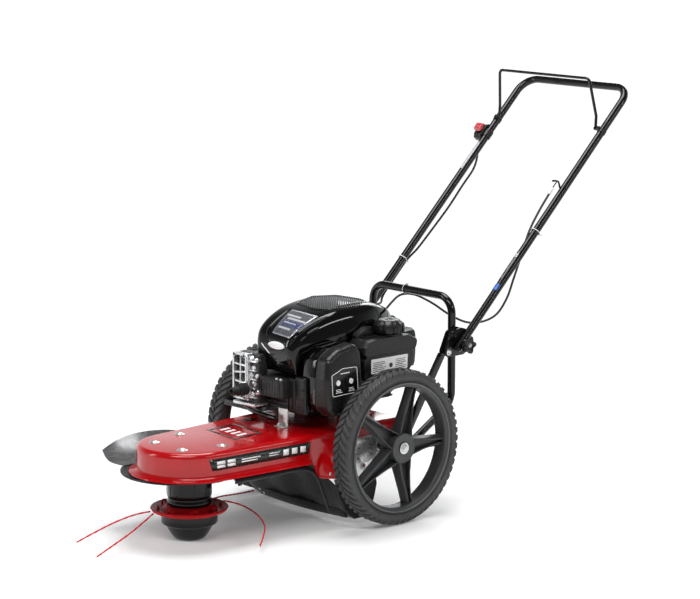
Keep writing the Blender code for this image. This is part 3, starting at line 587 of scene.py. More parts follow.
# ---------------------------------------------------------------- cutting lines
LINES = {
    "line_a": [(-0.0290, -0.0885, 0.0700), (-0.048, -0.118, 0.0640), (-0.064, -0.158, 0.0520),
               (-0.073, -0.205, 0.0370), (-0.079, -0.257, 0.0200)],
    "line_b": [(-0.0130, -0.0925, 0.0690), (-0.010, -0.130, 0.0520), (-0.004, -0.165, 0.0390),
               (0.008, -0.220, 0.0250), (0.030, -0.283, 0.0150)],
    "line_c": [(-0.0230, 0.0905, 0.0700), (-0.034, 0.125, 0.0670), (-0.050, 0.170, 0.0600),
               (-0.070, 0.220, 0.0520), (-0.090, 0.266, 0.0450)],
    "line_d": [(0.0060, 0.0940, 0.0700), (0.032, 0.123, 0.0600), (0.080, 0.128, 0.0480),
               (0.140, 0.102, 0.0380), (0.195, 0.052, 0.0320), (0.240, 0.004, 0.0290)],
}
LINE_R = 0.00195


def make_lines():
    """Four stiff ends of square cutting line with a twist along them."""
    for name, route in LINES.items():
        path = smooth_path([at(*p) for p in route], 0.0035)
        curve = bpy.data.curves.new(name + "_twist", "CURVE")
        curve.dimensions = "3D"
        curve.bevel_depth = LINE_R
        curve.bevel_resolution = 0
        curve.use_fill_caps = True
        spline = curve.splines.new("POLY")
        spline.points.add(len(path) - 1)
        for k, (point, place) in enumerate(zip(spline.points, path)):
            point.co = (*place, 1.0)
            point.tilt = 0.30 * k
        obj = bpy.data.objects.new(name + "_twist", curve)
        bpy.context.scene.collection.objects.link(obj)
        curve.materials.append(M["trimmer_line"])
        place_on(obj, "spindle", [name])


# ---------------------------------------------------------------- deck
DECK_TOP = 0.220
LIP_Z = 0.160
SKIRT_Z = 0.119
TAIL_Z = 0.188
NOSE_R = 0.118
LIP_WIDTH = 0.016
BODY_HALF = 0.136
SKIRT_HALF = 0.172
TAIL_HALF = 0.1535
FLARE_BACK = 0.262
SHOULDER = 0.012


def deck_half_width(back):
    """The deck's half width at its foot, flared behind the nose and drawn in at the tail."""
    nose = NOSE_R + (BODY_HALF - NOSE_R) * max(back, 0.0) / FLARE_BACK
    flared = BODY_HALF + (SKIRT_HALF - BODY_HALF) * ease(back, FLARE_BACK, FLARE_BACK + 0.045)
    tail = (SKIRT_HALF - TAIL_HALF) * ease(back, 0.45, 0.50)
    return (nose if back < FLARE_BACK else flared) - tail


def deck_bottom(back):
    """The height of the deck's lower edge."""
    drop = (LIP_Z - SKIRT_Z) * ease(back, FLARE_BACK - 0.025, FLARE_BACK + 0.012)
    rise = (TAIL_Z - SKIRT_Z) * ease(back, 0.47, 0.52)
    return LIP_Z - drop + rise


def deck_lip(back):
    """The width of the turned-out lip, which runs out at the flare."""
    return LIP_WIDTH * (1 - ease(back, FLARE_BACK - 0.03, FLARE_BACK + 0.01))


def deck_outline():
    """The (x, back) outline of the deck seen from above, from the tail round the nose."""
    tail = [0.510, 0.500, 0.490, 0.480, 0.470, 0.460, 0.450, 0.42, 0.38, 0.34]
    flare = [0.312 - 0.005 * k for k in range(18)]
    side = tail + flare + [0.20, 0.17, 0.13, 0.09, 0.045]
    left = [(TAIL_HALF - 0.030, 0.5355), (TAIL_HALF - 0.022, 0.534), (TAIL_HALF - 0.014, 0.5295),
            (TAIL_HALF - 0.008, 0.524), (TAIL_HALF - 0.003, 0.5175)]
    left += [(deck_half_width(back), back) for back in side]
    nose = [(NOSE_R * math.cos(a), NOSE_R * math.sin(a)) for a in (-math.pi * k / 36 for k in range(37))]
    return left + nose + [(-x, back) for x, back in reversed(left)]


def outward(outline):
    """The unit direction out of the outline at each of its points."""
    found = []
    for i in range(len(outline)):
        run = (Vector(outline[(i + 1) % len(outline)]) - Vector(outline[i - 1])).normalized()
        found.append(Vector((-run.y, run.x)))
    return found


def make_deck():
    """The pressed shell: flat roof, round shoulder, side walls, turned-out lip and two vents."""
    lower = deck_outline()
    upper = [(max(-BODY_HALF, min(BODY_HALF, x)), back) for x, back in lower]
    up_out, low_out = outward(upper), outward(lower)
    count = len(lower)
    rings = []
    for k in range(8):
        angle = math.pi / 2 * k / 7
        inset = SHOULDER * (1 - math.sin(angle))
        z = DECK_TOP - SHOULDER * (1 - math.cos(angle))
        rings.append([at(upper[i][0] - up_out[i].x * inset, upper[i][1] - up_out[i].y * inset, z)
                      for i in range(count)])
    top_z = DECK_TOP - SHOULDER

    def down(i, share):
        (ux, ub), (lx, lb) = upper[i], lower[i]
        foot = deck_bottom(lb) + 0.008
        return at(ux + (lx - ux) * share ** 1.6, ub, top_z + (foot - top_z) * share)

    for share in (0.12, 0.3, 0.5, 0.7, 0.88, 1.0):
        rings.append([down(i, share) for i in range(count)])
    for grow, rise in ((0.22, 0.0035), (0.5, 0.0012), (0.9, 0.0), (1.0, -0.0008), (1.03, -0.0028)):
        ring = []
        for i, (x, back) in enumerate(lower):
            lip = deck_lip(back) * grow + 0.001 * grow
            ring.append(at(x + low_out[i].x * lip, back + low_out[i].y * lip, deck_bottom(back) + rise))
        rings.append(ring)
    bm = bmesh.new()
    made = loft(bm, rings, wrap=True, caps=False)
    bm.faces.new(made[0])
    deck = finish_mesh(bm, "deck_pressing", "red_paint", angle=50)
    top = max(deck.data.polygons, key=lambda p: p.area)
    if top.normal.z < 0:
        deck.data.flip_normals()
    # black paint on the inner face is painted shade inside the deck, whose own inside is red
    thicken(deck, 0.0022, inside="black_paint")
    for x, back in ((-0.086, 0.254), (-0.107, 0.325)):
        bm = bmesh.new()
        block(bm, at(x - 0.0115, back - 0.0115, DECK_TOP - 0.02), at(x + 0.0115, back + 0.0115,
                DECK_TOP + 0.02))
        cut(deck, finish_mesh(bm, "vent", None, smooth=False))
    deck.data.shade_smooth()
    deck.data.set_sharp_from_angle(angle=math.radians(35))
    place_on(deck, "frame", ["deck_shell"])


def wall_point(back, z, out=0.0, side=1):
    """A point on the deck's side wall, moved out by a little."""
    if back < 0:
        x = math.sqrt(NOSE_R ** 2 - back ** 2)
        normal = Vector((x, back)).normalized()
        return at(side * (x + normal.x * out), back + normal.y * out, z)
    top = min(BODY_HALF, deck_half_width(back))
    low = deck_half_width(back)
    foot = deck_bottom(back) + 0.008
    share = (DECK_TOP - SHOULDER - z) / (DECK_TOP - SHOULDER - foot)
    return at(side * (top + (low - top) * max(share, 0.0) ** 1.6 + out), back, z)


def wall_patch(bm, corners, out):
    """A thin patch on the side wall; corners hold (back at low z, back at high z, z) pairs."""
    (b0, b1, z0), (c0, c1, z1) = corners
    steps = max(2, round(abs(c0 - b0) / 0.012))
    rows = []
    for k in range(steps + 1):
        t = k / steps
        rows.append([wall_point(b0 + (c0 - b0) * t, z0, out), wall_point(b1 + (c1 - b1) * t, z1, out)])
    loft(bm, rows, caps=False)


def make_deck_fittings():
    """The bolts on the roof and the side walls, a mounting tab, and black patches over the vents as painted
    shade in the holes.
    """
    bm = bmesh.new()
    for x, back in ((0.050, -0.059), (-0.050, -0.059), (0.076, 0.034), (-0.076, 0.034)):
        lathe(bm, [(0.0, 0.0), (0.0128, 0.0), (0.0128, 0.0007), (0.0118, 0.0012), (0.0, 0.0012)],
              at(x, back, DECK_TOP), "Z", 28)
        carriage_bolt(bm, at(x, back, DECK_TOP + 0.0012))
    hex_bolt(bm, at(0.022, 0.2520, DECK_TOP), "Z", 0.0062, 0.0095, 0.0092)
    for side in (1, -1):
        for back, z in ((0.318, 0.137), (0.445, 0.137)):
            spot = wall_point(back, z, 0.0, side)
            hex_bolt(bm, spot, outward_axis(side), 0.0050, 0.0038, 0.0075)
        lathe(bm, [(0.0, 0.0022), (0.003, 0.0018), (0.0042, 0.0), (0.0, 0.0)],
              wall_point(0.287, 0.128, 0.0, side), outward_axis(side), 14)
    piece(bm, "deck_bolts", "zinc", "frame")
    bm = bmesh.new()
    block(bm, at(0.008, 0.2592, DECK_TOP + 0.0003), at(0.040, 0.2612, 0.262))
    block(bm, at(0.008, 0.2470, DECK_TOP + 0.0003), at(0.040, 0.2612, DECK_TOP + 0.0016))
    piece(bm, "mount_tab", "zinc", "frame", edge=(0.0005, 2))
    bm = bmesh.new()
    # black patches on the roof over the vents: painted shade for the dark inside of the holes
    for hole in (((-0.0934, 0.2340), (-0.0974, 0.2590), (-0.0713, 0.2628), (-0.0657, 0.2321)),
                 ((-0.1200, 0.2967), (-0.1210, 0.3223), (-0.0979, 0.3270), (-0.0921, 0.2943))):
        outline = rounded_outline([at(x, back, DECK_TOP + 0.0001) for x, back in hole], 0.0015, 3)
        prism(bm, outline, (0, 0, 0.0003))
    piece(bm, "deck_hole_shade", "label_black", "frame")


def make_deck_labels():
    """A dark strip with plain marks on the near side wall, and a plain slanted frame on the top."""
    bm = bmesh.new()
    wall_patch(bm, [(-0.026, -0.034, 0.1785), (0.240, 0.246, 0.2050)], 0.0004)
    strip = finish_mesh(bm, "side_label", "label_dark")
    place_on(thicken(strip, 0.0003, 0.0), "frame")
    bm = bmesh.new()
    for start in (-0.014, 0.014):
        wall_patch(bm, [(start, start - 0.001, 0.1835), (start + 0.022, start + 0.021, 0.1895)], 0.0008)
        wall_patch(bm, [(start, start - 0.001, 0.1915), (start + 0.022, start + 0.021, 0.1985)], 0.0008)
    for low, length in ((0.1925, 0.052), (0.1870, 0.044)):
        wall_patch(bm, [(0.052, 0.052, low), (0.052 + length, 0.052 + length, low + 0.0026)], 0.0008)
    for low, length in ((0.1945, 0.030), (0.1895, 0.026)):
        wall_patch(bm, [(0.128, 0.128, low), (0.128 + length, 0.128 + length, low + 0.0018)], 0.0008)
    for start in (0.168, 0.192, 0.216):
        wall_patch(bm, [(start, start, 0.1850), (start + 0.015, start + 0.015, 0.1985)], 0.0008)
    marks = finish_mesh(bm, "side_label_marks", "white_print")
    place_on(thicken(marks, 0.0003, 0.0), "frame")
    z = DECK_TOP + 0.0002
    corners = [Vector((-0.068, 0.107)), Vector((-0.073, 0.192)), Vector((0.042, 0.181)),
               Vector((0.052, 0.092))]
    centre = sum(corners, Vector((0, 0))) / 4
    bm = bmesh.new()
    outer = [at(p.x, p.y, z) for p in corners]
    inner = [at(*(centre + (p - centre) * 0.84), z) for p in corners]
    loft(bm, [outer, inner], wrap=True, caps=False)
    place_on(thicken(finish_mesh(bm, "top_label_frame", "label_black"), 0.0003, 1.0), "frame")
    bm = bmesh.new()
    for k in range(4):
        share = 0.18 + 0.19 * k
        low = corners[1].lerp(corners[2], share)
        high = corners[0].lerp(corners[3], share)
        step = (corners[3] - corners[0]) * 0.085
        a, b = low.lerp(high, 0.38), low.lerp(high, 0.72)
        prism(bm, [at(*a, z), at(*(a + step), z), at(*(b + step), z), at(*b, z)], (0, 0, 0.0004))
    piece(bm, "top_label_marks", "white_print", "frame")


# ---------------------------------------------------------------- moulded parts under the deck
def make_shield():
    """The moulded wall behind the head, with its cheeks, its edge strip, a lower rail and a black flap."""
    low = SKIRT_Z - 0.0035
    half = 0.167
    section = [(0.272, 0.150, 0.120), (0.2795, 0.135, 0.130), (0.288, low, 0.140), (0.294, 0.098, half),
               (0.300, 0.080, half), (0.310, 0.060, half), (0.322, 0.040, half), (0.336, 0.025, half),
               (0.352, 0.0125, half)]
    rows = []
    for k in range(25):
        share = -1 + 2 * k / 24
        rows.append([at(share * reach, back + 0.003 * math.sin(share * 9.0), z) for back, z,
                     reach in section])
    bm = bmesh.new()
    loft(bm, rows, caps=False)
    wall = thicken(finish_mesh(bm, "shield_wall", "dark_plastic"), 0.003, 0.0)
    place_on(wall, "frame", ["debris_shield"])
    bm = bmesh.new()
    for side in (1, -1):
        x = side * half
        cheek = [at(x, back, z) for back, z in ((0.288, low), (0.405, low), (0.418, 0.100), (0.420, 0.085),
                                                (0.413, 0.058), (0.405, 0.035), (0.393, 0.020),
                                                (0.380, 0.0125), (0.352, 0.0125), (0.336, 0.025),
                                                (0.322, 0.040), (0.310, 0.060), (0.300, 0.080),
                                                (0.294, 0.098))]
        prism(bm, [p - Vector((0.0015, 0, 0)) for p in cheek], (0.003, 0, 0))
        for back in (0.330, 0.372):
            block(bm, at(x - 0.003, back, 0.034), at(x + 0.003, back + 0.003, low - 0.001))
    piece(bm, "shield_cheeks", "rubber", "frame", edge=(0.0008, 1))
    bm = bmesh.new()
    for side in (1, -1):
        line = smooth_path([at(side * 0.126, 0.030, 0.1495), at(side * 0.133, 0.110, 0.1500),
                            at(side * 0.1365, 0.190, 0.1515), at(side * 0.1375, 0.226, 0.1490),
                            at(side * 0.1385, 0.250, 0.1360), at(side * 0.141, 0.2640, 0.1130),
                            at(side * 0.147, 0.272, 0.085), at(side * 0.155, 0.282, 0.046)], 0.008)
        tube(bm, line, 0.0080, 10, True, (0.30, 1.0))
        tube(bm, [p + Vector((side * 0.004, -0.003, -0.004)) for p in line], 0.0026, 8)
    strip = finish_mesh(bm, "shield_edge", "dark_plastic")
    place_on(strip, "frame")
    bm = bmesh.new()
    rail = []
    for k in range(17):
        x = -0.150 + 0.302 * k / 16
        back = 0.330 - 0.010 * math.cos(x * 12)
        rail.append([at(x, back, 0.040), at(x, back - 0.006, 0.036), at(x, back + 0.006, 0.014),
                     at(x, back + 0.012, 0.0135)])
    loft(bm, rail, wrap=True)
    rail_mesh = finish_mesh(bm, "shield_rail", "black_plastic")
    place_on(bevel(rail_mesh, 0.001, 2), "frame")
    bm = bmesh.new()
    for x, z in ((-0.136, 0.031), (-0.126, 0.022)):
        lathe(bm, [(0.0, 0.0008), (0.003, 0.0008), (0.0036, 0.0), (0.0, 0.0)],
              at(x, 0.3215 + (0.036 - z) * 0.5, z), (0, -0.88, -0.47), 14)
    piece(bm, "shield_rivets", "zinc", "frame")


def make_deflector():
    """The curved grey sheet that flares up beside the deck's nose on the right."""
    stations = [-0.0845, -0.045, 0.0, 0.045, 0.09, 0.13]
    inner = [(-0.130, back, 0.1558) for back in stations]
    edge = [(-0.147, back, 0.1560) for back in stations]
    middle_row = [(-0.177, -0.096, 0.159), (-0.182, -0.055, 0.165), (-0.184, 0.0, 0.173),
                  (-0.184, 0.045, 0.174), (-0.184, 0.09, 0.1735), (-0.184, 0.13, 0.170)]
    rim = [(-0.231, -0.068, 0.171), (-0.229, -0.040, 0.186), (-0.221, -0.004, 0.199), (-0.218, 0.045, 0.201),
           (-0.215, 0.09, 0.198), (-0.212, 0.13, 0.191)]
    bm = bmesh.new()
    loft(bm, [[at(*p) for p in row] for row in (inner, edge, middle_row, rim)], caps=False)
    sheet = subdivide(finish_mesh(bm, "deflector_sheet", "sheet_grey"), 3, True)
    thicken(sheet, 0.0025, 0.0)
    bevel(sheet, 0.0006, 1, 60)
    place_on(sheet, "frame", ["side_deflector"])


def make_under_plate():
    """The rolled rim of the plate that closes the nose from below."""
    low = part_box("under_plate")[0]
    bm = bmesh.new()
    path = [at(-0.022 + 0.1385 * math.cos(a), 0.1385 * math.sin(a), low.z + 0.0015)
            for a in (-math.pi * k / 48 for k in range(49))]
    tube(bm, path, 0.0026, 10)
    piece(bm, "under_plate_rim", "black_plastic", "frame")


def rounded_outline(points, radius, steps=5):
    """A closed flat outline of world points with round corners."""
    made = []
    count = len(points)
    for i in range(count):
        made += rounded([points[i - 1], points[i], points[(i + 1) % count]], radius, steps)[1:-1]
    return made


AXLE_PLATE = 0.0035
BRACE = 0.0038


def make_axle_plates():
    """The zinc plates that carry the stub axles, with their holes, boss and bolts."""
    for side, sign in SIDES:
        low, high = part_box("axle_plate_" + side)
        x_in = low.x if sign > 0 else high.x
        run = Vector((sign * AXLE_PLATE, 0, 0))
        outline = [(0.303, 0.204), (0.517, 0.204), (0.517, 0.172), (0.468, 0.120), (0.402, 0.107),
                   (0.333, 0.112)]
        bm = bmesh.new()
        flat = rounded_outline([at(0, back, z) for back, z in outline], 0.010)
        prism(bm, [Vector((x_in, p.y, p.z)) for p in flat], run)
        plate = finish_mesh(bm, "axle_bracket_" + side, "zinc")
        bm = bmesh.new()
        for back, z, r in ((0.345, 0.165, 0.004), (0.372, 0.138, 0.004), (0.490, 0.182, 0.004)):
            tube(bm, [Vector((x_in - 0.01, HEAD_Y + back, z)), Vector((x_in + 0.015, HEAD_Y + back, z))], r,
                 18)
        cut(plate, finish_mesh(bm, "holes", None, smooth=False))
        bevel(plate, 0.0008, 2, 50)
        place_on(plate, "frame", ["axle_plate_" + side])
        bm = bmesh.new()
        face = x_in + sign * AXLE_PLATE
        axis = outward_axis(sign)
        lathe(bm, [(0.0, 0.0030), (0.017, 0.0028), (0.021, 0.0010), (0.022, 0.0), (0.0, 0.0)],
              Vector((face, middle("axle_left").y, middle("axle_left").z)), axis, 36)
        for back, z in ((0.330, 0.188), (0.430, 0.128), (0.455, 0.190)):
            hex_bolt(bm, Vector((face, HEAD_Y + back, z)), axis, 0.0055, 0.005, 0.0085)
        bolts = finish_mesh(bm, "axle_bracket_bolts_" + side, "steel")
        place_on(bolts, "frame")


# ---------------------------------------------------------------- wheels
LUGS = 58
LUG_HEIGHT = 0.0042
TYRE_SEAT = 0.1520
RIM_SEAT = 0.1517
SPOKES = 5
SPOKE_PHASE = math.radians(-2.8)


def make_tyre(side, sign):
    """The tyre carcass and its two rows of slanted lugs."""
    low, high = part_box("tyre_" + side)
    centre = (low + high) / 2
    radius = (high.z - low.z) / 2
    half = (high.x - low.x) / 2
    seat = TYRE_SEAT
    axis = outward_axis(sign)
    carcass = radius - LUG_HEIGHT
    profile = [(seat, half - 0.005), (seat + 0.002, half - 0.002), (seat + 0.005, half - 0.0012),
               (seat + 0.012, half - 0.0004), (carcass - 0.006, half - 0.0010),
               (carcass - 0.0015, half - 0.004), (carcass, half - 0.008), (carcass + 0.0006, 0.0)]
    full = profile + [(r, -h) for r, h in reversed(profile[:-1])]
    bm = bmesh.new()
    lathe(bm, full, centre, axis, 120, True)
    lathe(bm, [(seat + 0.0030, half - 0.0008), (seat + 0.0042, half + 0.0006),
               (seat + 0.0056, half - 0.0006)],
          centre, axis, 120, True)
    tread = finish_mesh(bm, "tyre_carcass_" + side, "tyre")
    place_on(tread, "wheel_" + side, ["tyre_" + side])
    turn = basis(axis)
    bm = bmesh.new()
    pitch = 2 * math.pi / LUGS

    def on_wheel(x, r, angle):
        return centre + turn @ Vector((r * math.cos(angle), r * math.sin(angle), x))

    for k in range(LUGS):
        for hand in (1, -1):
            shift = 0.0 if hand > 0 else 0.5 * pitch
            base = pitch * k + shift
            stations = [(0.0012, radius, 0.00), (half * 0.42, radius, 0.34),
                        (half * 0.76, radius - 0.0005, 0.62), (half * 0.94, radius - 0.0035, 0.80),
                        (half + 0.0002, radius - 0.0100, 0.95)]
            rows = []
            for x, r, lead in stations:
                wide = pitch * (0.31 if x < half * 0.8 else 0.25)
                mid = base + pitch * lead * 1.15
                inner = 0.0035
                if x > half * 0.9:
                    low_pair = [on_wheel(hand * (x - 0.003), r - 0.001, mid + wide),
                                on_wheel(hand * (x - 0.003), r - 0.001, mid - wide)]
                else:
                    low_pair = [on_wheel(hand * x, r - inner - 0.001, mid + wide),
                                on_wheel(hand * x, r - inner - 0.001, mid - wide)]
                rows.append([on_wheel(hand * x, r, mid - wide * 0.86),
                             on_wheel(hand * x, r, mid + wide * 0.86)] + low_pair)
            loft(bm, rows, wrap=True)
    lugs = finish_mesh(bm, "tyre_lugs_" + side, "tyre", angle=25)
    place_on(lugs, "wheel_" + side, ["tyre_" + side])


def make_rim(side, sign):
    """The moulded rim: hoop, hub, ribbed spokes, and a pale ring round its edge as a painted highlight."""
    low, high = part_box("rim_" + side)
    tyre_low, tyre_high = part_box("tyre_" + side)
    tyre_mid = (tyre_low + tyre_high) / 2
    half = (tyre_high.x - tyre_low.x) / 2
    seat = RIM_SEAT
    axis = outward_axis(sign)
    bm = bmesh.new()
    hoop = [(seat, half - 0.0045), (seat + 0.0012, half - 0.0012), (seat - 0.0008, half + 0.0004),
            (seat - 0.0030, half - 0.0006), (seat - 0.0042, half - 0.0035), (seat - 0.0105, half - 0.0065),
            (seat - 0.0118, half - 0.0090), (seat - 0.0110, 0.0)]
    full = hoop + [(r, -h) for r, h in reversed(hoop[:-1])]
    lathe(bm, full, tyre_mid, axis, 120, True)
    out = (high.x if sign > 0 else -low.x) - abs(tyre_mid.x)
    inner = (low.x if sign > 0 else -high.x) - abs(tyre_mid.x)
    hub = [(0.0066, out - 0.0035), (0.0150, out - 0.0035), (0.0160, out - 0.0005), (0.0330, out),
           (0.0345, out - 0.0015), (0.0345, 0.002), (0.0290, -0.008), (0.0205, -0.012), (0.0200, inner),
           (0.0066, inner)]
    lathe(bm, hub, tyre_mid, axis, 64, True)
    piece(bm, "rim_hoop_" + side, "rim_plastic", "wheel_" + side, ["rim_" + side], angle=28)
    bm = bmesh.new()
    for k in range(SPOKES):
        angle = SPOKE_PHASE + 2 * math.pi * k / SPOKES
        along = Vector((0.0, math.cos(angle), math.sin(angle)))
        across = Vector((0.0, -math.sin(angle), math.cos(angle)))
        face = Vector((sign, 0.0, 0.0))

        def spot(reach, side_way, depth):
            return tyre_mid + along * reach + across * side_way + face * depth

        # reach along the spoke, half width, height of the ribs, height of the web
        stations = [(0.026, 0.0185, out - 0.004, 0.004), (0.038, 0.0175, out - 0.006, 0.003),
                    (0.070, 0.0150, 0.0145, 0.002), (0.105, 0.0128, 0.0110, 0.001),
                    (0.130, 0.0120, 0.0095, 0.0), (0.143, 0.0125, 0.0100, 0.0)]
        web = [[spot(r, -w, d), spot(r, w, d), spot(r, w, d - 0.004), spot(r, -w, d - 0.004)] for r, w, top,
               d in stations]
        loft(bm, web, wrap=True)
        for hand in (1, -1):
            rib = []
            for r, w, top, d in stations:
                lean = 0.0014 if r < 0.13 else 0.0016
                # the two outer ribs draw together towards the rim
                gather = 1.0 - 0.62 * ease(r, 0.03, 0.14)
                mid = hand * w * gather
                rib.append([spot(r, mid - lean, top), spot(r, mid + lean, top),
                            spot(r, hand * w * 0.98 + 0.0016, d - 0.001),
                            spot(r, hand * w * 0.98 - 0.0016, d - 0.001)])
            loft(bm, rib, wrap=True)
            back_rib = []
            for r, w, top, d in stations:
                depth = -0.010 if r > 0.03 else -0.012
                back_rib.append([spot(r, hand * w - 0.0015, depth), spot(r, hand * w + 0.0015, depth),
                                 spot(r, hand * w + 0.0015, d), spot(r, hand * w - 0.0015, d)])
            loft(bm, back_rib, wrap=True)
    # a pale grey ring at the tyre seat: a painted highlight along the rim's edge
    line = bmesh.new()
    lathe(line, [(seat - 0.0042, half - 0.0030), (seat - 0.0032, half - 0.0002),
                 (seat - 0.0020, half - 0.0002), (seat - 0.0020, half - 0.0030)], tyre_mid, axis, 120, True)
    piece(line, "rim_highlight_ring_" + side, "rim_highlight_grey", "wheel_" + side)
    spokes = bevel(finish_mesh(bm, "rim_spokes_" + side, "rim_plastic"), 0.0008, 2, 40)
    place_on(spokes, "wheel_" + side, ["rim_" + side])


def make_wheel_bolts():
    """The washer and bolt that hold each wheel."""
    for side, sign in SIDES:
        low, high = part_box("wheel_bolt_" + side)
        x = low.x if sign > 0 else high.x
        centre = middle("wheel_bolt_" + side)
        axis = outward_axis(sign)
        bm = bmesh.new()
        spot = Vector((x, centre.y, centre.z))
        lathe(bm, [(0.0, 0.0012), (0.0128, 0.0012), (0.0138, 0.0004), (0.0138, 0.0), (0.0, 0.0)], spot, axis,
              40)
        hex_bolt(bm, spot + basis(axis) @ Vector((0, 0, 0.0012)), axis, 0.0078, 0.0058, 0.0108)
        piece(bm, "wheel_bolt_head_" + side, "zinc", "frame", ["wheel_bolt_" + side])


# ---------------------------------------------------------------- handle
TUBE_R = 0.0095
HANDLE_HALF = 0.178
HANDLE_LOW = (0.668, 0.3675)
HANDLE_TOP = (1.2597, 0.9416)
ARCH_HALF = 0.1364
ARCH_BACK = 0.690
ARCH_TOP = 0.4836
BAIL_PIVOT = (1.150, 0.8505)
BAIL_BAR = (1.138, 0.972)
BAIL_R = 0.0036


def mirrored(points):
    """The same points on the other side of the machine."""
    return [Vector((-p.x, p.y, p.z)) for p in points]


def on_handle(share, x=HANDLE_HALF):
    """A point on the handle tube's axis, from its lower end to its upper corner."""
    low, top = HANDLE_LOW, HANDLE_TOP
    return at(x, low[0] + (top[0] - low[0]) * share, low[1] + (top[1] - low[1]) * share)


def share_at(back):
    """How far along the handle tube a distance behind the head lies."""
    return (back - HANDLE_LOW[0]) / (HANDLE_TOP[0] - HANDLE_LOW[0])


ALONG = (on_handle(1.0) - on_handle(0.0)).normalized()
HANDLE_TILT = math.atan2(ALONG.z, ALONG.y)


def open_end(bm, spot, direction, radius):
    """A dark plug pressed into a tube's end."""
    lathe(bm, [(0.0, 0.0012), (radius * 0.72, 0.0012), (radius * 0.9, 0.0), (radius * 0.9, -0.004),
               (0.0, -0.004)],
          spot, direction, 20)


def make_handles():
    """The lower arch and the upper handle tube with its end plugs."""
    left = [at(ARCH_HALF, 0.490, 0.152), at(ARCH_HALF, 0.575, 0.163), at(ARCH_HALF, ARCH_BACK, 0.232),
            at(ARCH_HALF, ARCH_BACK, ARCH_TOP)]
    path = dense(rounded(left + mirrored(reversed(left)), [0.04, 0.05, 0.04, 0.04, 0.05, 0.04], 10), 0.03)
    bm = bmesh.new()
    tube(bm, path, TUBE_R, 24)
    piece(bm, "arch_tube", "black_paint", "frame", ["lower_handle"])
    left = [on_handle(0.0), on_handle(1.0)]
    path = dense(rounded(left + mirrored(reversed(left)), [0.045, 0.045], 14), 0.03)
    bm = bmesh.new()
    tube(bm, path, TUBE_R, 24)
    piece(bm, "handle_tube", "black_paint", "handle", ["upper_handle"])
    bm = bmesh.new()
    for sign in (1, -1):
        open_end(bm, on_handle(0.0, sign * HANDLE_HALF), -ALONG, TUBE_R)
    piece(bm, "handle_plugs", "black_plastic", "handle")


def band(bm, start, end, radius, arc=2 * math.pi, facing=0.0, count=28, thick=0.0004):
    """A thin sleeve on a tube between two points of its axis; arc and facing make it a patch."""
    axis = (end - start).normalized()
    side = axis.cross(Vector((1, 0, 0)))
    side = axis.cross(Vector((0, 1, 0))) if side.length < 0.1 else side
    side.normalize()
    other = axis.cross(side)
    rows = []
    for k in range(count + 1):
        a = facing - arc / 2 + arc * k / count
        out = side * math.cos(a) + other * math.sin(a)
        rows.append([start + out * radius, start + out * (radius + thick), end + out * (radius + thick),
                     end + out * radius])
    if arc > 6.28:
        loft(bm, rows[:-1], wrap=True, loop_rows=True)
    else:
        loft(bm, rows, wrap=True)


def make_handle_stickers():
    """Plain stickers and marks on the handle tubes."""
    facing = math.radians(150)
    for name, slot, first, last, arc, side, out in (
            ("sticker_blue", "sticker_blue", 0.794, 0.807, 150, 1, 0.0001),
            ("sticker_clear", "label_black", 0.816, 0.881, 150, 1, 0.0001),
            ("sticker_silver", "pale_print", 0.866, 0.874, 110, 1, 0.0005),
            ("sticker_far", "pale_print", 1.035, 1.098, 110, -1, 0.0001)):
        bm = bmesh.new()
        start = on_handle(share_at(first), side * HANDLE_HALF)
        end = on_handle(share_at(last), side * HANDLE_HALF)
        band(bm, start, end, TUBE_R + out, math.radians(arc), facing)
        piece(bm, name, slot, "handle")
    bm = bmesh.new()
    for first, last, turn in ((0.818, 0.879, 115), (0.818, 0.879, 185), (0.825, 0.858, 150)):
        band(bm, on_handle(share_at(first)), on_handle(share_at(last)), TUBE_R + 0.0004, math.radians(5),
             math.radians(turn), 3)
    for k in range(7):
        first = 1.038 + 0.0084 * k
        band(bm, on_handle(share_at(first), -HANDLE_HALF), on_handle(share_at(first + 0.003), -HANDLE_HALF),
             TUBE_R + 0.0004, math.radians(60), facing, 6)
    piece(bm, "sticker_lines", "sticker_grey", "handle")


def tie(bm, centre, axis, radius, tail):
    """A cable tie round a tube: its strap, its square head and its cut tail."""
    axis = axis.normalized()
    path = disc(centre, radius + 0.0008, 36, axis)
    tube(bm, path + [path[0]], 0.0017, 8, False, (1.0, 0.45))
    out = (Vector(tail) - axis * axis.dot(Vector(tail))).normalized()
    spot = centre + out * (radius + 0.0022)
    turn = out.to_track_quat("Z", "Y").to_matrix()
    block(bm, (-0.0024, -0.0024, -0.0016), (0.0024, 0.0024, 0.0020), (0, 0, 0, 0), turn, spot)
    tube(bm, [spot, spot + out.cross(axis) * 0.004 + out * 0.002,
              spot + out.cross(axis) * 0.008 + out * 0.006],
         0.0011, 6, True, (1.0, 0.6))


def make_ties():
    """The cable ties on the handle and on the arch."""
    bm = bmesh.new()
    spot = on_handle(share_at(0.929))
    tie(bm, spot, ALONG, TUBE_R + 0.0004, (0.4, 0.5, -1.0))
    spot = on_handle(share_at(0.829), -HANDLE_HALF)
    tie(bm, spot, ALONG, TUBE_R + 0.0004, (0.2, 0.6, -1.0))
    piece(bm, "handle_ties", "tie_white", "handle")
    bm = bmesh.new()
    tie(bm, at(-0.022, ARCH_BACK, ARCH_TOP), Vector((1, 0, 0)), TUBE_R + 0.0004, (0.0, 0.3, 1.0))
    piece(bm, "arch_tie", "tie_white", "frame")


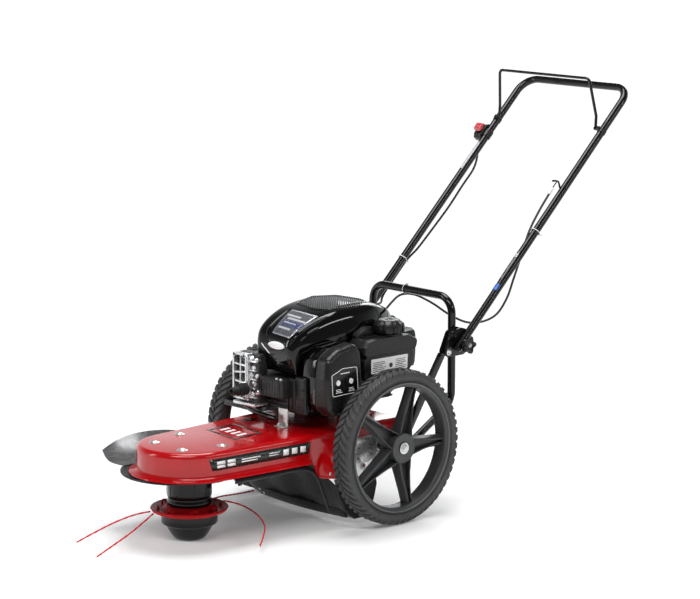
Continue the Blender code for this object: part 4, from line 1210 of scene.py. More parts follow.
def make_braces():
    """The flat braces from the deck up to the handle brackets, and their bolts."""
    for side, sign in SIDES:
        low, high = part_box("brace_" + side)
        strip = [(0.6625, 0.3600), (0.6355, 0.3600), (0.5085, 0.1690), (0.5290, 0.1555)]
        x_in = low.x if sign > 0 else high.x
        bm = bmesh.new()
        outline = rounded_outline([Vector((x_in, HEAD_Y + back, z)) for back, z in strip], 0.006)
        prism(bm, outline, (sign * BRACE, 0, 0))
        piece(bm, "brace_bar_" + side, "black_paint", "frame", ["brace_" + side],
              edge=(0.0007, 2, 50))
        bm = bmesh.new()
        axis = outward_axis(sign)
        hex_bolt(bm, Vector((x_in + sign * BRACE, HEAD_Y + 0.5285, 0.171)), axis, 0.0055, 0.005, 0.0085)
        piece(bm, "brace_bolt_" + side, "zinc", "frame")


def make_brackets():
    """The clamp plates of the folding joint, with their rim, bolt head and spacer."""
    for side, sign in SIDES:
        low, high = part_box("handle_bracket_" + side)
        inner, outer = sorted((abs(low.x), abs(high.x)))
        outline = [(0.632, 0.350), (0.702, 0.350), (0.718, 0.372), (0.722, 0.405), (0.692, 0.416),
                   (0.660, 0.410)]
        bm = bmesh.new()
        for x0, x1 in ((inner, inner + 0.004), (outer - 0.0045, outer)):
            flat = rounded_outline([at(sign * x0, back, z) for back, z in outline], 0.012)
            prism(bm, flat, (sign * (x1 - x0), 0, 0))
        core = rounded_outline([at(sign * (inner + 0.003), 0.681 + (back - 0.681) * 0.84,
                                   0.381 + (z - 0.381) * 0.84)
                                for back, z in outline], 0.010)
        prism(bm, core, (sign * (outer - inner - 0.006), 0, 0))
        piece(bm, "fold_bracket_" + side, "black_paint", "frame", ["handle_bracket_" + side],
              edge=(0.0010, 2, 50))
        bm = bmesh.new()
        axis = outward_axis(-sign)
        hex_bolt(bm, at(sign * (ARCH_HALF - TUBE_R - 0.0005), FOLD.y - HEAD_Y, FOLD.z), axis, 0.0060, 0.0050,
                 0.0095)
        hex_bolt(bm, at(sign * (ARCH_HALF - TUBE_R - 0.0005), ARCH_BACK, 0.345), axis, 0.0050, 0.0045, 0.0080)
        hex_bolt(bm, at(sign * (outer + 0.0002), 0.650, 0.362), outward_axis(sign), 0.0048, 0.0045, 0.0075)
        piece(bm, "bracket_bolts_" + side, "zinc", "frame")


def make_knobs():
    """Five-lobed clamping knobs with a dished face, a hub and a bolt end."""
    for side, sign in SIDES:
        low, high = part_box("knob_" + side)
        x_in = low.x if sign > 0 else high.x
        x_out = high.x if sign > 0 else low.x
        depth = abs(x_out - x_in)
        rows = []
        levels = [(0.0, 0.60), (0.15, 0.68), (0.34, 0.74), (0.40, 0.92), (0.50, 1.0), (0.82, 1.0),
                  (0.93, 0.95), (1.0, 0.84), (1.0, 0.62), (0.90, 0.54), (0.88, 0.30)]
        for share, size in levels:
            ring = []
            for k in range(70):
                a = 2 * math.pi * k / 70
                lobe = 0.0183 + 0.0038 * math.cos(5 * a) * (1.0 if share > 0.36 and size > 0.55 else 0.35)
                ring.append(Vector((x_in + sign * depth * share, FOLD.y + lobe * size * math.cos(a),
                                    FOLD.z + lobe * size * math.sin(a))))
            rows.append(ring)
        bm = bmesh.new()
        loft(bm, rows, wrap=True)
        piece(bm, "knob_grip_" + side, "black_plastic", "knob_" + side, ["knob_" + side],
              angle=50)
        bm = bmesh.new()
        hex_bolt(bm, Vector((x_in + sign * depth * 0.87, FOLD.y, FOLD.z)), outward_axis(sign), 0.0042, 0.003,
                 0.0056)
        piece(bm, "knob_bolt_" + side, "steel", "knob_" + side)


def make_bail():
    """The operator bail, its pivots and the clips that hold it."""
    pivot = at(HANDLE_HALF - 0.0135, *BAIL_PIVOT)
    knee = at(HANDLE_HALF - 0.0140, BAIL_PIVOT[0] + 0.002, BAIL_PIVOT[1] + 0.03)
    top = at(0.152, *BAIL_BAR)
    left = [pivot, knee, top]
    path = dense(rounded(left + mirrored(reversed(left)), [0.02, 0.012, 0.012, 0.02], 8), 0.02)
    bm = bmesh.new()
    tube(bm, path, BAIL_R, 14)
    for sign in (1, -1):
        spot = Vector((sign * pivot.x, pivot.y, pivot.z))
        lathe(bm, [(0.0, 0.003), (0.0048, 0.003), (0.0048, -0.003), (0.0, -0.003)], spot, "X", 18)
    piece(bm, "bail_rod", "black_paint", "bail", ["bail"])
    bm = bmesh.new()
    start = on_handle(0.0)
    spot = start + ALONG * (Vector((start.x, pivot.y, pivot.z)) - start).dot(ALONG)
    turn = Matrix.Rotation(HANDLE_TILT, 3, "X")
    for sign in (1, -1):
        centre = Vector((sign * spot.x, spot.y, spot.z))
        band(bm, centre - ALONG * 0.0055, centre + ALONG * 0.0055, TUBE_R + 0.0002, 2 * math.pi, 0.0, 28,
             0.0010)
        low_x, high_x = sorted((-sign * 0.0088, sign * 0.0010))
        block(bm, (low_x, -0.0050, 0.0060), (high_x, 0.0050, 0.0150), (0, 0, 0, 0), turn, centre)
    piece(bm, "bail_clips", "black_plastic", "handle", edge=(0.0008, 1, 50))


def make_throttle():
    """The throttle box clipped on the right tube, and its ribbed red lever."""
    centre = at(-0.1955, 1.1220, 0.8140)
    turn = Matrix.Rotation(math.radians(44.13), 3, "X")
    bm = bmesh.new()
    outline = [Vector((0, y, z)) for y, z in ((-0.020, -0.011), (0.020, -0.011), (0.021, 0.002),
                                              (0.013, 0.0088), (-0.013, 0.0088), (-0.021, 0.002))]
    flat = rounded_outline(outline, 0.003)
    prism(bm, [centre + turn @ (p * 1.12 - Vector((0.0140, 0, 0))) for p in flat],
          turn @ Vector((0.0250, 0, 0)))
    body = bevel(finish_mesh(bm, "throttle_box", "black_plastic"), 0.0014, 2, 50)
    place_on(body, "handle", ["throttle_housing"])
    bm = bmesh.new()
    spot = on_handle(share_at(1.122), -HANDLE_HALF)
    band(bm, spot - ALONG * 0.010, spot + ALONG * 0.010, TUBE_R + 0.0002, 2 * math.pi, 0.0, 28, 0.0020)
    hex_bolt(bm, spot + Vector((TUBE_R + 0.002, 0, 0)), "X", 0.0035, 0.003, 0.005)
    piece(bm, "throttle_clip", "black_plastic", "handle")
    bm = bmesh.new()
    profile = [(0.0, 0.0106), (-0.0110, 0.0142), (-0.0105, 0.0185), (-0.0080, 0.0222), (0.0, 0.0232),
               (0.0085, 0.0224), (0.0118, 0.0185), (0.0122, 0.0144)]
    prism(bm, [centre + turn @ Vector((-0.0105, y, z)) for y, z in profile], turn @ Vector((0.0190, 0, 0)))
    for k in range(5):
        y = -0.0062 + 0.0032 * k
        block(bm, (-0.0098, y, 0.0222), (0.0078, y + 0.0013, 0.0240), (0, 0, 0, 0), turn, centre)
    piece(bm, "throttle_slider", "lever_red", "throttle_lever", ["throttle_lever"],
          edge=(0.0007, 2, 50))


CABLE_R = 0.0028
STOP_ROUTE = [(0.166, 0.990, 0.708), (0.1645, 0.955, 0.667), (0.1645, 0.920, 0.619), (0.1645, 0.889, 0.553),
              (0.158, 0.875, 0.508), (0.150, 0.861, 0.462), (0.137, 0.839, 0.424), (0.1155, 0.8112, 0.4068),
              (0.090, 0.784, 0.406), (0.065, 0.752, 0.425), (0.035, 0.728, 0.450), (0.0, 0.713, 0.466),
              (-0.018, 0.7010, 0.4705), (-0.026, 0.6920, 0.4705), (-0.032, 0.681, 0.4680),
              (-0.038, 0.668, 0.458), (-0.044, 0.640, 0.430), (-0.046, 0.620, 0.392), (-0.047, 0.600, 0.350),
              (-0.047, 0.580, 0.325), (-0.045, 0.5490, 0.310)]
THROTTLE_ROUTE = [(-0.196, 1.105, 0.784), (-0.192, 1.100, 0.752), (-0.184, 1.078, 0.722),
                  (-0.179, 1.036, 0.686), (-0.177, 0.985, 0.636), (-0.177, 0.929, 0.586),
                  (-0.178, 0.880, 0.543), (-0.179, 0.842, 0.5160), (-0.179, 0.800, 0.476),
                  (-0.1765, 0.7605, 0.4383), (-0.164, 0.742, 0.425), (-0.156, 0.720, 0.4240),
                  (-0.154, 0.695, 0.4250), (-0.148, 0.660, 0.420), (-0.130, 0.620, 0.395),
                  (-0.108, 0.595, 0.345), (-0.096, 0.5700, 0.320), (-0.085, 0.5490, 0.310)]


def make_cables():
    """Both cables, each in one sheath."""
    bends = (("stop", STOP_ROUTE, (0.0, 0.735, 0.425), (0.0, 0.880, 0.520)),
             ("throttle", THROTTLE_ROUTE, (-0.15, 0.700, 0.420), (-0.178, 0.830, 0.500)))
    for name, route, start, end in bends:
        bm = bmesh.new()
        tube(bm, smooth_path([at(*p) for p in route], 0.006), CABLE_R, 12)
        sheath = finish_mesh(bm, name + "_cable", "cable")
        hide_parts(name + "_cable_upper", name + "_cable_lower")
        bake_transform(sheath)
    bm = bmesh.new()
    tip = at(*STOP_ROUTE[0])
    lead = (tip - at(*STOP_ROUTE[1])).normalized()
    lathe(bm, [(0.0, 0.014), (0.0024, 0.014), (0.0036, 0.011), (0.0036, -0.005), (0.0, -0.005)], tip, lead,
          16)
    piece(bm, "stop_cable_ferrule", "tie_white", "handle")
    bm = bmesh.new()
    hook = [tip + lead * 0.013, tip + lead * 0.020, at(0.1700, 1.008, 0.7330), at(0.1670, 1.006, 0.7365)]
    tube(bm, smooth_path(hook, 0.003), 0.0015, 8)
    spot = on_handle(share_at(1.024))
    arm = [spot + Vector((-0.0080, -0.004, 0.004)), at(0.1700, 1.013, 0.7330), at(0.1655, 0.998, 0.7350)]
    tube(bm, smooth_path(arm, 0.003), 0.0024, 10)
    piece(bm, "stop_cable_hook", "black_paint", "handle")


# ---------------------------------------------------------------- engine cover
# back, height, lowest x and highest x of the cover's ridge line, from the nose over the top to the tail
COVER = [(0.258, 0.346, -0.048, 0.070), (0.2495, 0.368, -0.050, 0.072), (0.2435, 0.392, -0.053, 0.073),
         (0.243, 0.410, -0.057, 0.074), (0.247, 0.426, -0.062, 0.076), (0.256, 0.4385, -0.070, 0.079),
         (0.272, 0.4495, -0.079, 0.083), (0.300, 0.4645, -0.088, 0.090), (0.345, 0.481, -0.097, 0.099),
         (0.400, 0.489, -0.103, 0.106), (0.460, 0.490, -0.104, 0.107), (0.500, 0.4865, -0.101, 0.100),
         (0.545, 0.472, -0.090, 0.080), (0.575, 0.454, -0.075, 0.060), (0.586, 0.420, -0.066, 0.052),
         (0.588, 0.380, -0.060, 0.048), (0.586, 0.345, -0.058, 0.046)]
COVER_SKIRT = 0.342
COVER_FANS = {0: 0.262, 1: 0.266, 2: 0.271, 3: 0.277, 4: 0.284, 5: 0.290, 6: 0.296,
              12: 0.552, 13: 0.562, 14: 0.570, 15: 0.577, 16: 0.583}
FRONT_DIR = Vector((0.35, -0.70, 0.62))


def cover_row(index):
    """One section of the engine cover, from its left skirt over the top to its right skirt."""
    back, z, low_x, high_x = COVER[index]
    z = max(z, COVER_SKIRT + 0.001)
    foot = COVER_FANS.get(index, back)
    sides = []
    for edge in (low_x, high_x):
        side = []
        inner = edge * 0.58
        for k in range(10):
            a = math.pi / 2 * (1 - k / 9)
            wide = math.sin(a) ** 0.62
            high = math.cos(a) ** 0.48 if k else 0.0
            lean = (1 - high) * (foot - back)
            side.append(at(inner + (edge - inner) * wide, back + lean,
                           COVER_SKIRT + (z - COVER_SKIRT) * high))
        sides.append(side)
    crown = [(k / 7, Vector((0, 0, 0.0012 * math.sin(math.pi * k / 7)))) for k in range(1, 7)]
    middle_points = [sides[0][-1].lerp(sides[1][-1], share) + rise for share, rise in crown]
    return sides[0] + middle_points + list(reversed(sides[1]))


def make_cover():
    """The domed engine cover; gives its skin, which the details are laid on."""
    bm = bmesh.new()
    loft(bm, [cover_row(i) for i in range(len(COVER))])
    shell = finish_mesh(bm, "engine_cover", "gloss_plastic", angle=60)
    subdivide(shell, 2)
    depsgraph = bpy.context.evaluated_depsgraph_get()
    tree = BVHTree.FromObject(shell, depsgraph)
    thicken(shell, 0.0028)
    place_on(shell, "frame", ["blower_housing"])
    return tree


def drop(tree, point, direction, out):
    """The point moved along direction onto the skin, and out from it."""
    hit, normal, _, _ = tree.ray_cast(point + direction.normalized() * 0.08, -direction.normalized(), 0.2)
    if hit is None:
        return point
    if normal.dot(direction) < 0:
        normal = -normal
    return hit + normal * out


def drape(tree, corners, name, material, direction, out=0.0006, thick=0.0004, steps=(12, 12)):
    """A thin four-cornered patch laid on the skin; corners run round it."""
    a, b, c, d = corners
    rows = []
    for i in range(steps[0] + 1):
        left = a.lerp(d, i / steps[0])
        right = b.lerp(c, i / steps[0])
        rows.append([drop(tree, left.lerp(right, k / steps[1]), direction, out) for k in range(steps[1] + 1)])
    bm = bmesh.new()
    loft(bm, rows)
    return place_on(thicken(finish_mesh(bm, name, material), thick, 0.0), "frame")


def bead(bm, tree, points, direction, radius, sink=0.4, spacing=0.004):
    """A ridge laid along the skin, which thins out at both ends."""
    path = [drop(tree, p, direction, -radius * sink) for p in smooth_path(points, spacing)]
    count = len(path)
    radii = [radius * min(1.0, 0.25 + 3.0 * min(i, count - 1 - i) / count) for i in range(count)]
    tube(bm, path, radii, 12)


def inside(outline, x, y):
    """Whether a point lies inside a flat outline."""
    odd = False
    for (x0, y0), (x1, y1) in zip(outline, outline[1:] + outline[:1]):
        if (y0 > y) != (y1 > y) and x < x0 + (y - y0) * (x1 - x0) / (y1 - y0):
            odd = not odd
    return odd


GRILLE = [(-0.050, 0.366), (0.023, 0.352), (0.070, 0.364), (0.084, 0.430), (0.056, 0.487), (0.015, 0.506),
          (-0.042, 0.486), (-0.069, 0.430)]
SLAT_STEP = 0.0050
SLAT_R = 0.0019


def make_grille(tree):
    """Slats laid side by side across the top of the cover, over a matte black sheet as painted shade in the
    gaps, and inside a raised rim.
    """
    up = Vector((0, 0, 1))
    corners = [at(x, back, 0) for x, back in GRILLE]
    rim = [Vector((p.x, p.y - HEAD_Y, 0)) for p in rounded_outline(corners, 0.012, 6)]
    outline = [(p.x, p.y) for p in rim]
    along = Vector((-0.738, 0.674))
    across = Vector((0.674, 0.738))
    centre = Vector((0.008, 0.430))
    slats = bmesh.new()
    for k in range(-22, 23):
        base = centre + across * (SLAT_STEP * k)
        run = [base + along * (0.002 * j) for j in range(-60, 61)]
        run = [p for p in run if inside(outline, p.x, p.y)]
        if len(run) < 4:
            continue
        path = [drop(tree, at(p.x, p.y, 0.47), up, 0.0012) for p in run[::2]]
        tube(slats, path, SLAT_R, 8)
    piece(slats, "grille_slats", "grey_plastic", "frame", ["intake_grille"])
    # a matte black sheet under the slats: painted shade for the dark inside seen between them
    bm = bmesh.new()
    ring = [drop(tree, at(p.x, p.y, 0.47), up, 0.0006) for p in rim]
    middle_spot = drop(tree, at(centre.x, centre.y, 0.47), up, 0.0004)
    rows = [[middle_spot.lerp(p, share) for p in ring] for share in (0.1, 0.5, 1.0)]
    loft(bm, rows, wrap=True, caps=False)
    piece(bm, "grille_gap_shade", "label_black", "frame")
    bm = bmesh.new()
    tube(bm, ring + [ring[0]], 0.0026, 10, False)
    seam = [at(0.030, 0.356, 0.48), at(0.058, 0.374, 0.48), at(0.066, 0.420, 0.48), at(0.062, 0.462, 0.48),
            at(0.048, 0.492, 0.48)]
    bead(bm, tree, seam, up, 0.0040, 0.1)
    piece(bm, "grille_rim", "gloss_plastic", "frame")


def make_cover_details(tree):
    """The ridges, the plain plate with its band and bars, the oval badge and a thin line on the cover."""
    front = FRONT_DIR
    bm = bmesh.new()
    right = [at(0.062, 0.243, 0.408), at(0.065, 0.251, 0.428), at(0.071, 0.285, 0.452),
             at(0.079, 0.330, 0.472), at(0.086, 0.352, 0.478)]
    left = [at(-0.018, 0.247, 0.425), at(-0.025, 0.257, 0.439), at(-0.031, 0.300, 0.463),
            at(-0.037, 0.350, 0.481)]
    bead(bm, tree, right, front, 0.0058, 0.45)
    bead(bm, tree, left, front, 0.0046, 0.40)
    lower = [at(0.079, 0.262, 0.425), at(0.084, 0.290, 0.445), at(0.090, 0.320, 0.458)]
    bead(bm, tree, lower, Vector((0.7, -0.5, 0.5)), 0.0042, 0.5)
    piece(bm, "cover_ridges", "gloss_plastic", "frame")
    plate = [at(-0.029, 0.336, 0.475), at(0.067, 0.330, 0.473), at(0.057, 0.252, 0.431),
             at(-0.006, 0.254, 0.435)]
    drape(tree, plate, "cover_plate", "silver_plate", front, 0.0004, 0.0006, (16, 14))

    def part(u0, u1, v0, v1):
        def spot(u, v):
            return plate[0].lerp(plate[1], u).lerp(plate[3].lerp(plate[2], u), v)
        return [spot(u0, v0), spot(u1, v0), spot(u1, v1), spot(u0, v1)]

    drape(tree, part(0.10, 0.97, 0.44, 0.66), "cover_plate_band", "blue_plate", front, 0.0011, 0.0003,
          (4, 12))
    for k, (u0, u1, v0, v1) in enumerate(((0.04, 0.62, 0.22, 0.30), (0.18, 0.95, 0.34, 0.42),
                                          (0.16, 0.72, 0.52, 0.56), (0.12, 0.70, 0.72, 0.79))):
        drape(tree, part(u0, u1, v0, v1), f"cover_plate_bar_{k}", "pale_print", front, 0.0014, 0.0003,
              (2, 10))
    badge = [at(-0.008, 0.245, 0.424), at(0.050, 0.243, 0.420), at(0.046, 0.244, 0.403),
             at(-0.002, 0.244, 0.397)]
    drape(tree, badge, "badge_field", "dark_plastic", Vector((0.1, -1, 0.2)), 0.0005, 0.0005, (6, 8))
    shape = []
    for k in range(40):
        a = 2 * math.pi * k / 40
        reach = 1.0 + 0.10 * math.cos(2 * a)
        shape.append(drop(tree, at(0.021 + 0.0255 * reach * math.cos(a), 0.244,
                                   0.4115 + 0.0085 * math.sin(a)),
                          Vector((0, -1, 0)), 0.0012))
    bm = bmesh.new()
    prism(bm, shape, (0, -0.0012, 0))
    piece(bm, "badge_plate", "white_print", "frame", edge=(0.0004, 2, 50))
    bm = bmesh.new()
    line = [at(-0.033, 0.243, 0.410), at(-0.018, 0.243, 0.399), at(-0.004, 0.245, 0.388)]
    bead(bm, tree, line, Vector((0, -1, 0.1)), 0.0014, -0.3, 0.003)
    piece(bm, "cover_line", "white_print", "frame")


# ---------------------------------------------------------------- engine
def solid_box(name, material, low, high, radius, inset=(0, 0, 0, 0), segments=4):
    """A box with round edges between two world corners."""
    bm = bmesh.new()
    block(bm, low, high, inset)
    return bevel(finish_mesh(bm, name, material), radius, segments, 30)


def box_at(name, material, low, high, radius):
    """A box with round edges; its corners are given as x, back and height."""
    return solid_box(name, material, at(*low), at(*high), radius)


UNDERSIDE_Z = 0.2590


def make_engine_block():
    """The crankcase, with fins round it and its underside held clear of the deck on a foot set well back."""
    low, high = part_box("engine_block")
    core = solid_box("block_core", "engine_casting", Vector((low.x + 0.004, low.y + 0.004, UNDERSIDE_Z)),
                     high - Vector((0.004, 0.004, 0.0004)), 0.008)
    place_on(core, "frame", ["engine_block"])
    bm = bmesh.new()
    for k in range(6):
        z = UNDERSIDE_Z + 0.004 + 0.010 * k
        outline = rounded_outline([Vector((low.x, low.y + 0.0005, z)), Vector((high.x, low.y + 0.0005, z)),
                                   Vector((high.x, high.y, z)), Vector((low.x, high.y, z))], 0.012)
        prism(bm, outline, (0, 0, 0.0026))
    piece(bm, "block_fins", "engine_casting", "frame")
    bm = bmesh.new()
    foot = [at(x, back, low.z + 0.0002) for x, back in ((-0.075, 0.375), (-0.018, 0.375), (-0.018, 0.530),
                                                        (-0.075, 0.530))]
    outline = rounded_outline(foot, 0.012)
    spread = [Vector((p.x * 1.15, p.y, UNDERSIDE_Z + 0.002)) for p in outline]
    loft(bm, [outline, spread], wrap=True)
    piece(bm, "block_feet", "engine_casting", "frame")
    column = box_at("front_column", "black_plastic", (0.076, 0.250, UNDERSIDE_Z), (0.1105, 0.262, 0.346),
                    0.005)
    place_on(column, "frame")
    bm = bmesh.new()
    for k in range(3):
        z = 0.272 + 0.022 * k
        block(bm, at(0.080, 0.2478, z), at(0.107, 0.2502, z + 0.0030))
    piece(bm, "column_ribs", "black_plastic", "frame", edge=(0.0008, 2))


def make_cylinder_head():
    """Bare cast head: base flange, framed rib window, lumpy outer wall and cover bolts."""
    low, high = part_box("cylinder_head")
    front = low.y
    core = solid_box("head_core", "engine_casting", Vector((-0.0985, front + 0.014, 0.266)),
                     Vector((-0.0245, high.y, 0.384)), 0.006)
    place_on(core, "frame", ["cylinder_head"])
    bm = bmesh.new()
    outer = rounded_outline([Vector((x, front, z)) for x, z in
                             ((-0.0995, 0.276), (-0.0995, 0.384), (-0.050, 0.384), (-0.050, 0.276))], 0.010)
    inner = rounded_outline([Vector((x, front, z)) for x, z in
                             ((-0.0945, 0.281), (-0.0945, 0.379), (-0.055, 0.379), (-0.055, 0.281))], 0.006)
    run = Vector((0, 0.015, 0))
    loft(bm, [outer, [p + run for p in outer], [p + run for p in inner], inner], wrap=True, loop_rows=True)
    for z, lean in ((0.299, 0.004), (0.318, -0.003), (0.337, 0.005), (0.358, -0.002)):
        start = Vector((-0.096, front + 0.0015, z))
        end = Vector((-0.053, front + 0.0015, z + lean))
        side = Vector((0, 0, 0.0022))
        deep = Vector((0, 0.013, 0))
        prism(bm, [start - side, end - side, end + side, start + side], deep)
    prism(bm, [Vector((-0.0765, front + 0.001, 0.280)), Vector((-0.0735, front + 0.001, 0.280)),
               Vector((-0.0700, front + 0.001, 0.381)), Vector((-0.0735, front + 0.001, 0.381))],
               (0, 0.013, 0))
    frame_piece = bevel(finish_mesh(bm, "head_window", "aluminium"), 0.0009, 2, 40)
    place_on(frame_piece, "frame")
    bm = bmesh.new()
    lumps = ((-0.044, 0.372, 0.0085, 0.007), (-0.038, 0.352, 0.0070, 0.004), (-0.046, 0.335, 0.0080, 0.006),
             (-0.036, 0.316, 0.0075, 0.005), (-0.044, 0.290, 0.0085, 0.006), (-0.030, 0.370, 0.0065, 0.003),
             (-0.028, 0.334, 0.0060, 0.003), (-0.026, 0.296, 0.0070, 0.004))
    for x, z, r, tall in lumps:
        lathe(bm, [(0.0, tall), (r * 0.55, tall), (r * 0.85, tall * 0.7), (r, 0.0), (r, -0.010),
                   (0.0, -0.010)],
              Vector((x, front + 0.0135, z)), "-Y", 22)
    for k in range(5):
        z = 0.283 + 0.021 * k
        block(bm, Vector((-0.0500, front + 0.0040, z)), Vector((-0.0250, front + 0.020, z + 0.0032)),
              (0, 0.004, 0, 0))
    block(bm, Vector((-0.0520, front + 0.0020, 0.275)), Vector((-0.0470, front + 0.018, 0.385)))
    piece(bm, "head_castings", "aluminium", "frame", edge=(0.0012, 2, 40))
    flange = box_at("head_flange", "aluminium", (-0.0995, 0.2125, 0.2625), (-0.022, 0.256, 0.2705), 0.0025)
    place_on(flange, "frame")
    bm = bmesh.new()
    for x, z in ((-0.0925, 0.3795), (-0.0570, 0.3795), (-0.0925, 0.2815), (-0.0570, 0.2815)):
        hex_bolt(bm, Vector((x, front + 0.0002, z)), "-Y", 0.0036, 0.0010, 0.0048)
    piece(bm, "head_bolts", "zinc", "frame")


def make_plug_boot():
    """The ribbed rubber boot on the spark plug."""
    low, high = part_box("spark_plug_boot")
    root = Vector((-0.052, high.y, (low.z + high.z) / 2))
    length = 0.75 * (high.y - low.y)
    profile = [(0.0, length * 0.8), (0.0052, length * 0.8), (0.0060, length), (0.0068, length),
               (0.0092, length - 0.0015), (0.0096, length * 0.72)]
    for k in range(4):
        h = length * (0.66 - 0.13 * k)
        r = 0.0105 + 0.0010 * k
        profile += [(r, h), (r + 0.0014, h - 0.0012), (r + 0.0014, h - 0.0040), (r, h - 0.0052)]
    profile += [(0.0142, length * 0.10), (0.0142, 0.0), (0.0, 0.0)]
    bm = bmesh.new()
    lathe(bm, profile, root, "-Y", 40)
    piece(bm, "plug_boot", "rubber", "frame", ["spark_plug_boot"])


def make_intake_box():
    """Ribbed breather box under the cover's nose, with a raised frame on its face."""
    low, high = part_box("intake_duct")
    low, high = low - Vector((0.0165, 0, 0)), high - Vector((0.0190, 0, 0))
    shell = solid_box("duct_box", "dark_plastic", low + Vector((0, 0.0015, 0)), high, 0.006)
    place_on(shell, "frame", ["intake_duct"])
    bm = bmesh.new()
    outer = rounded_outline([Vector((x, low.y, z)) for x, z in
                             ((low.x + 0.003, low.z + 0.003), (low.x + 0.003, high.z - 0.003),
                              (high.x - 0.006, high.z - 0.003), (high.x - 0.003, low.z + 0.003))], 0.006)
    middle_x = (low.x + high.x) / 2
    middle_z = (low.z + high.z) / 2
    inner = [Vector((middle_x + (p.x - middle_x) * 0.90, p.y,
                     middle_z + (p.z - middle_z) * 0.82)) for p in outer]
    run = Vector((0, 0.0025, 0))
    loft(bm, [outer, [p + run for p in outer], [p + run for p in inner], inner], wrap=True, loop_rows=True)
    for k in range(6):
        x = low.x + 0.013 + 0.0098 * k
        spine = Vector((x, low.y + 0.0008, middle_z))
        prism(bm, [spine + Vector((-0.0010, 0, -0.015)), spine + Vector((0.0010, 0, -0.015)),
                   spine + Vector((0.0040, 0, 0.015)), spine + Vector((0.0020, 0, 0.015))], (0, 0.002, 0))
    piece(bm, "duct_frame", "black_plastic", "frame", edge=(0.0006, 2, 40))
    bm = bmesh.new()
    for x in (low.x + 0.056, low.x + 0.070):
        lathe(bm, [(0.0, 0.004), (0.0026, 0.004), (0.0034, 0.002), (0.0034, 0.0), (0.0, 0.0)],
              Vector((x, low.y + 0.006, high.z - 0.001)), "Z", 16)
    piece(bm, "duct_screws", "zinc", "frame")
    lower = box_at("lower_shroud", "black_plastic", (0.048, 0.250, UNDERSIDE_Z), (0.0755, 0.2617, 0.3400),
                   0.006)
    place_on(lower, "frame")
    bm = bmesh.new()
    for k in range(2):
        x = 0.052 + 0.012 * k
        block(bm, at(x, 0.2478, UNDERSIDE_Z + 0.006), at(x + 0.003, 0.2502, 0.334))
    piece(bm, "shroud_ribs", "black_plastic", "frame", edge=(0.0008, 2))


def make_exhaust():
    """The muffler and its louvres, the guard plate with rims, and a round bar low at the engine's front."""
    low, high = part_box("muffler")
    body = solid_box("muffler_can", "black_paint", low, high - Vector((0.0004, 0, 0)), 0.012, segments=5)
    place_on(body, "frame", ["muffler"])
    bm = bmesh.new()
    for k in range(6):
        y = low.y + 0.022 + 0.018 * k
        block(bm, Vector((low.x - 0.0012, y, low.z + 0.014)),
              Vector((low.x + 0.002, y + 0.007, high.z - 0.014)))
    piece(bm, "muffler_louvres", "black_paint", "frame", edge=(0.0009, 2))
    low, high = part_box("exhaust_guard")
    plate = solid_box("guard_plate", "black_paint", low, high, 0.0015, segments=2)
    place_on(plate, "frame", ["exhaust_guard"])
    bm = bmesh.new()
    block(bm, Vector((low.x + 0.002, low.y, high.z - 0.0005)),
          Vector((high.x, low.y + 0.004, high.z + 0.007)))
    block(bm, Vector((low.x, low.y + 0.002, high.z - 0.0005)),
          Vector((low.x + 0.004, high.y - 0.010, high.z + 0.007)))
    piece(bm, "guard_rims", "black_paint", "frame", edge=(0.0012, 2))
    bm = bmesh.new()
    tube(bm, smooth_path([at(-0.095, 0.2560, 0.2440), at(-0.060, 0.2480, 0.2420), at(-0.020, 0.2460, 0.2400),
                          at(0.010, 0.2480, 0.2380)], 0.006), 0.0058, 16)
    piece(bm, "front_bar", "black_paint", "frame")


# ---------------------------------------------------------------- air cleaner and tank
def side_loft(bm, rows, steps=6):
    """Stacked side-view outlines: (x, [(back, z), ...], corner radius) from the inside out."""
    made = [rounded_outline([at(x, back, z) for back, z in outline], radius, steps) for x, outline,
            radius in rows]
    loft(bm, made, wrap=True)


AIR_OUTLINE = [(0.259, 0.282), (0.2575, 0.350), (0.264, 0.394), (0.298, 0.4145), (0.352, 0.4235),
               (0.3665, 0.408), (0.3665, 0.300), (0.345, 0.264), (0.280, 0.262)]
AIR_CENTRE = (0.318, 0.344)


def scaled(outline, centre, share):
    """A (back, z) outline drawn in towards a centre."""
    return [(centre[0] + (b - centre[0]) * share, centre[1] + (z - centre[1]) * share) for b, z in outline]


def tuck(bm):
    """Lean the filter cover's outer face in towards its top, which keeps it off the tyre when it tips."""
    for vert in bm.verts:
        vert.co.x -= max(0.0, vert.co.x - 0.140) / 0.046 * 0.082 * (vert.co.z - 0.262)


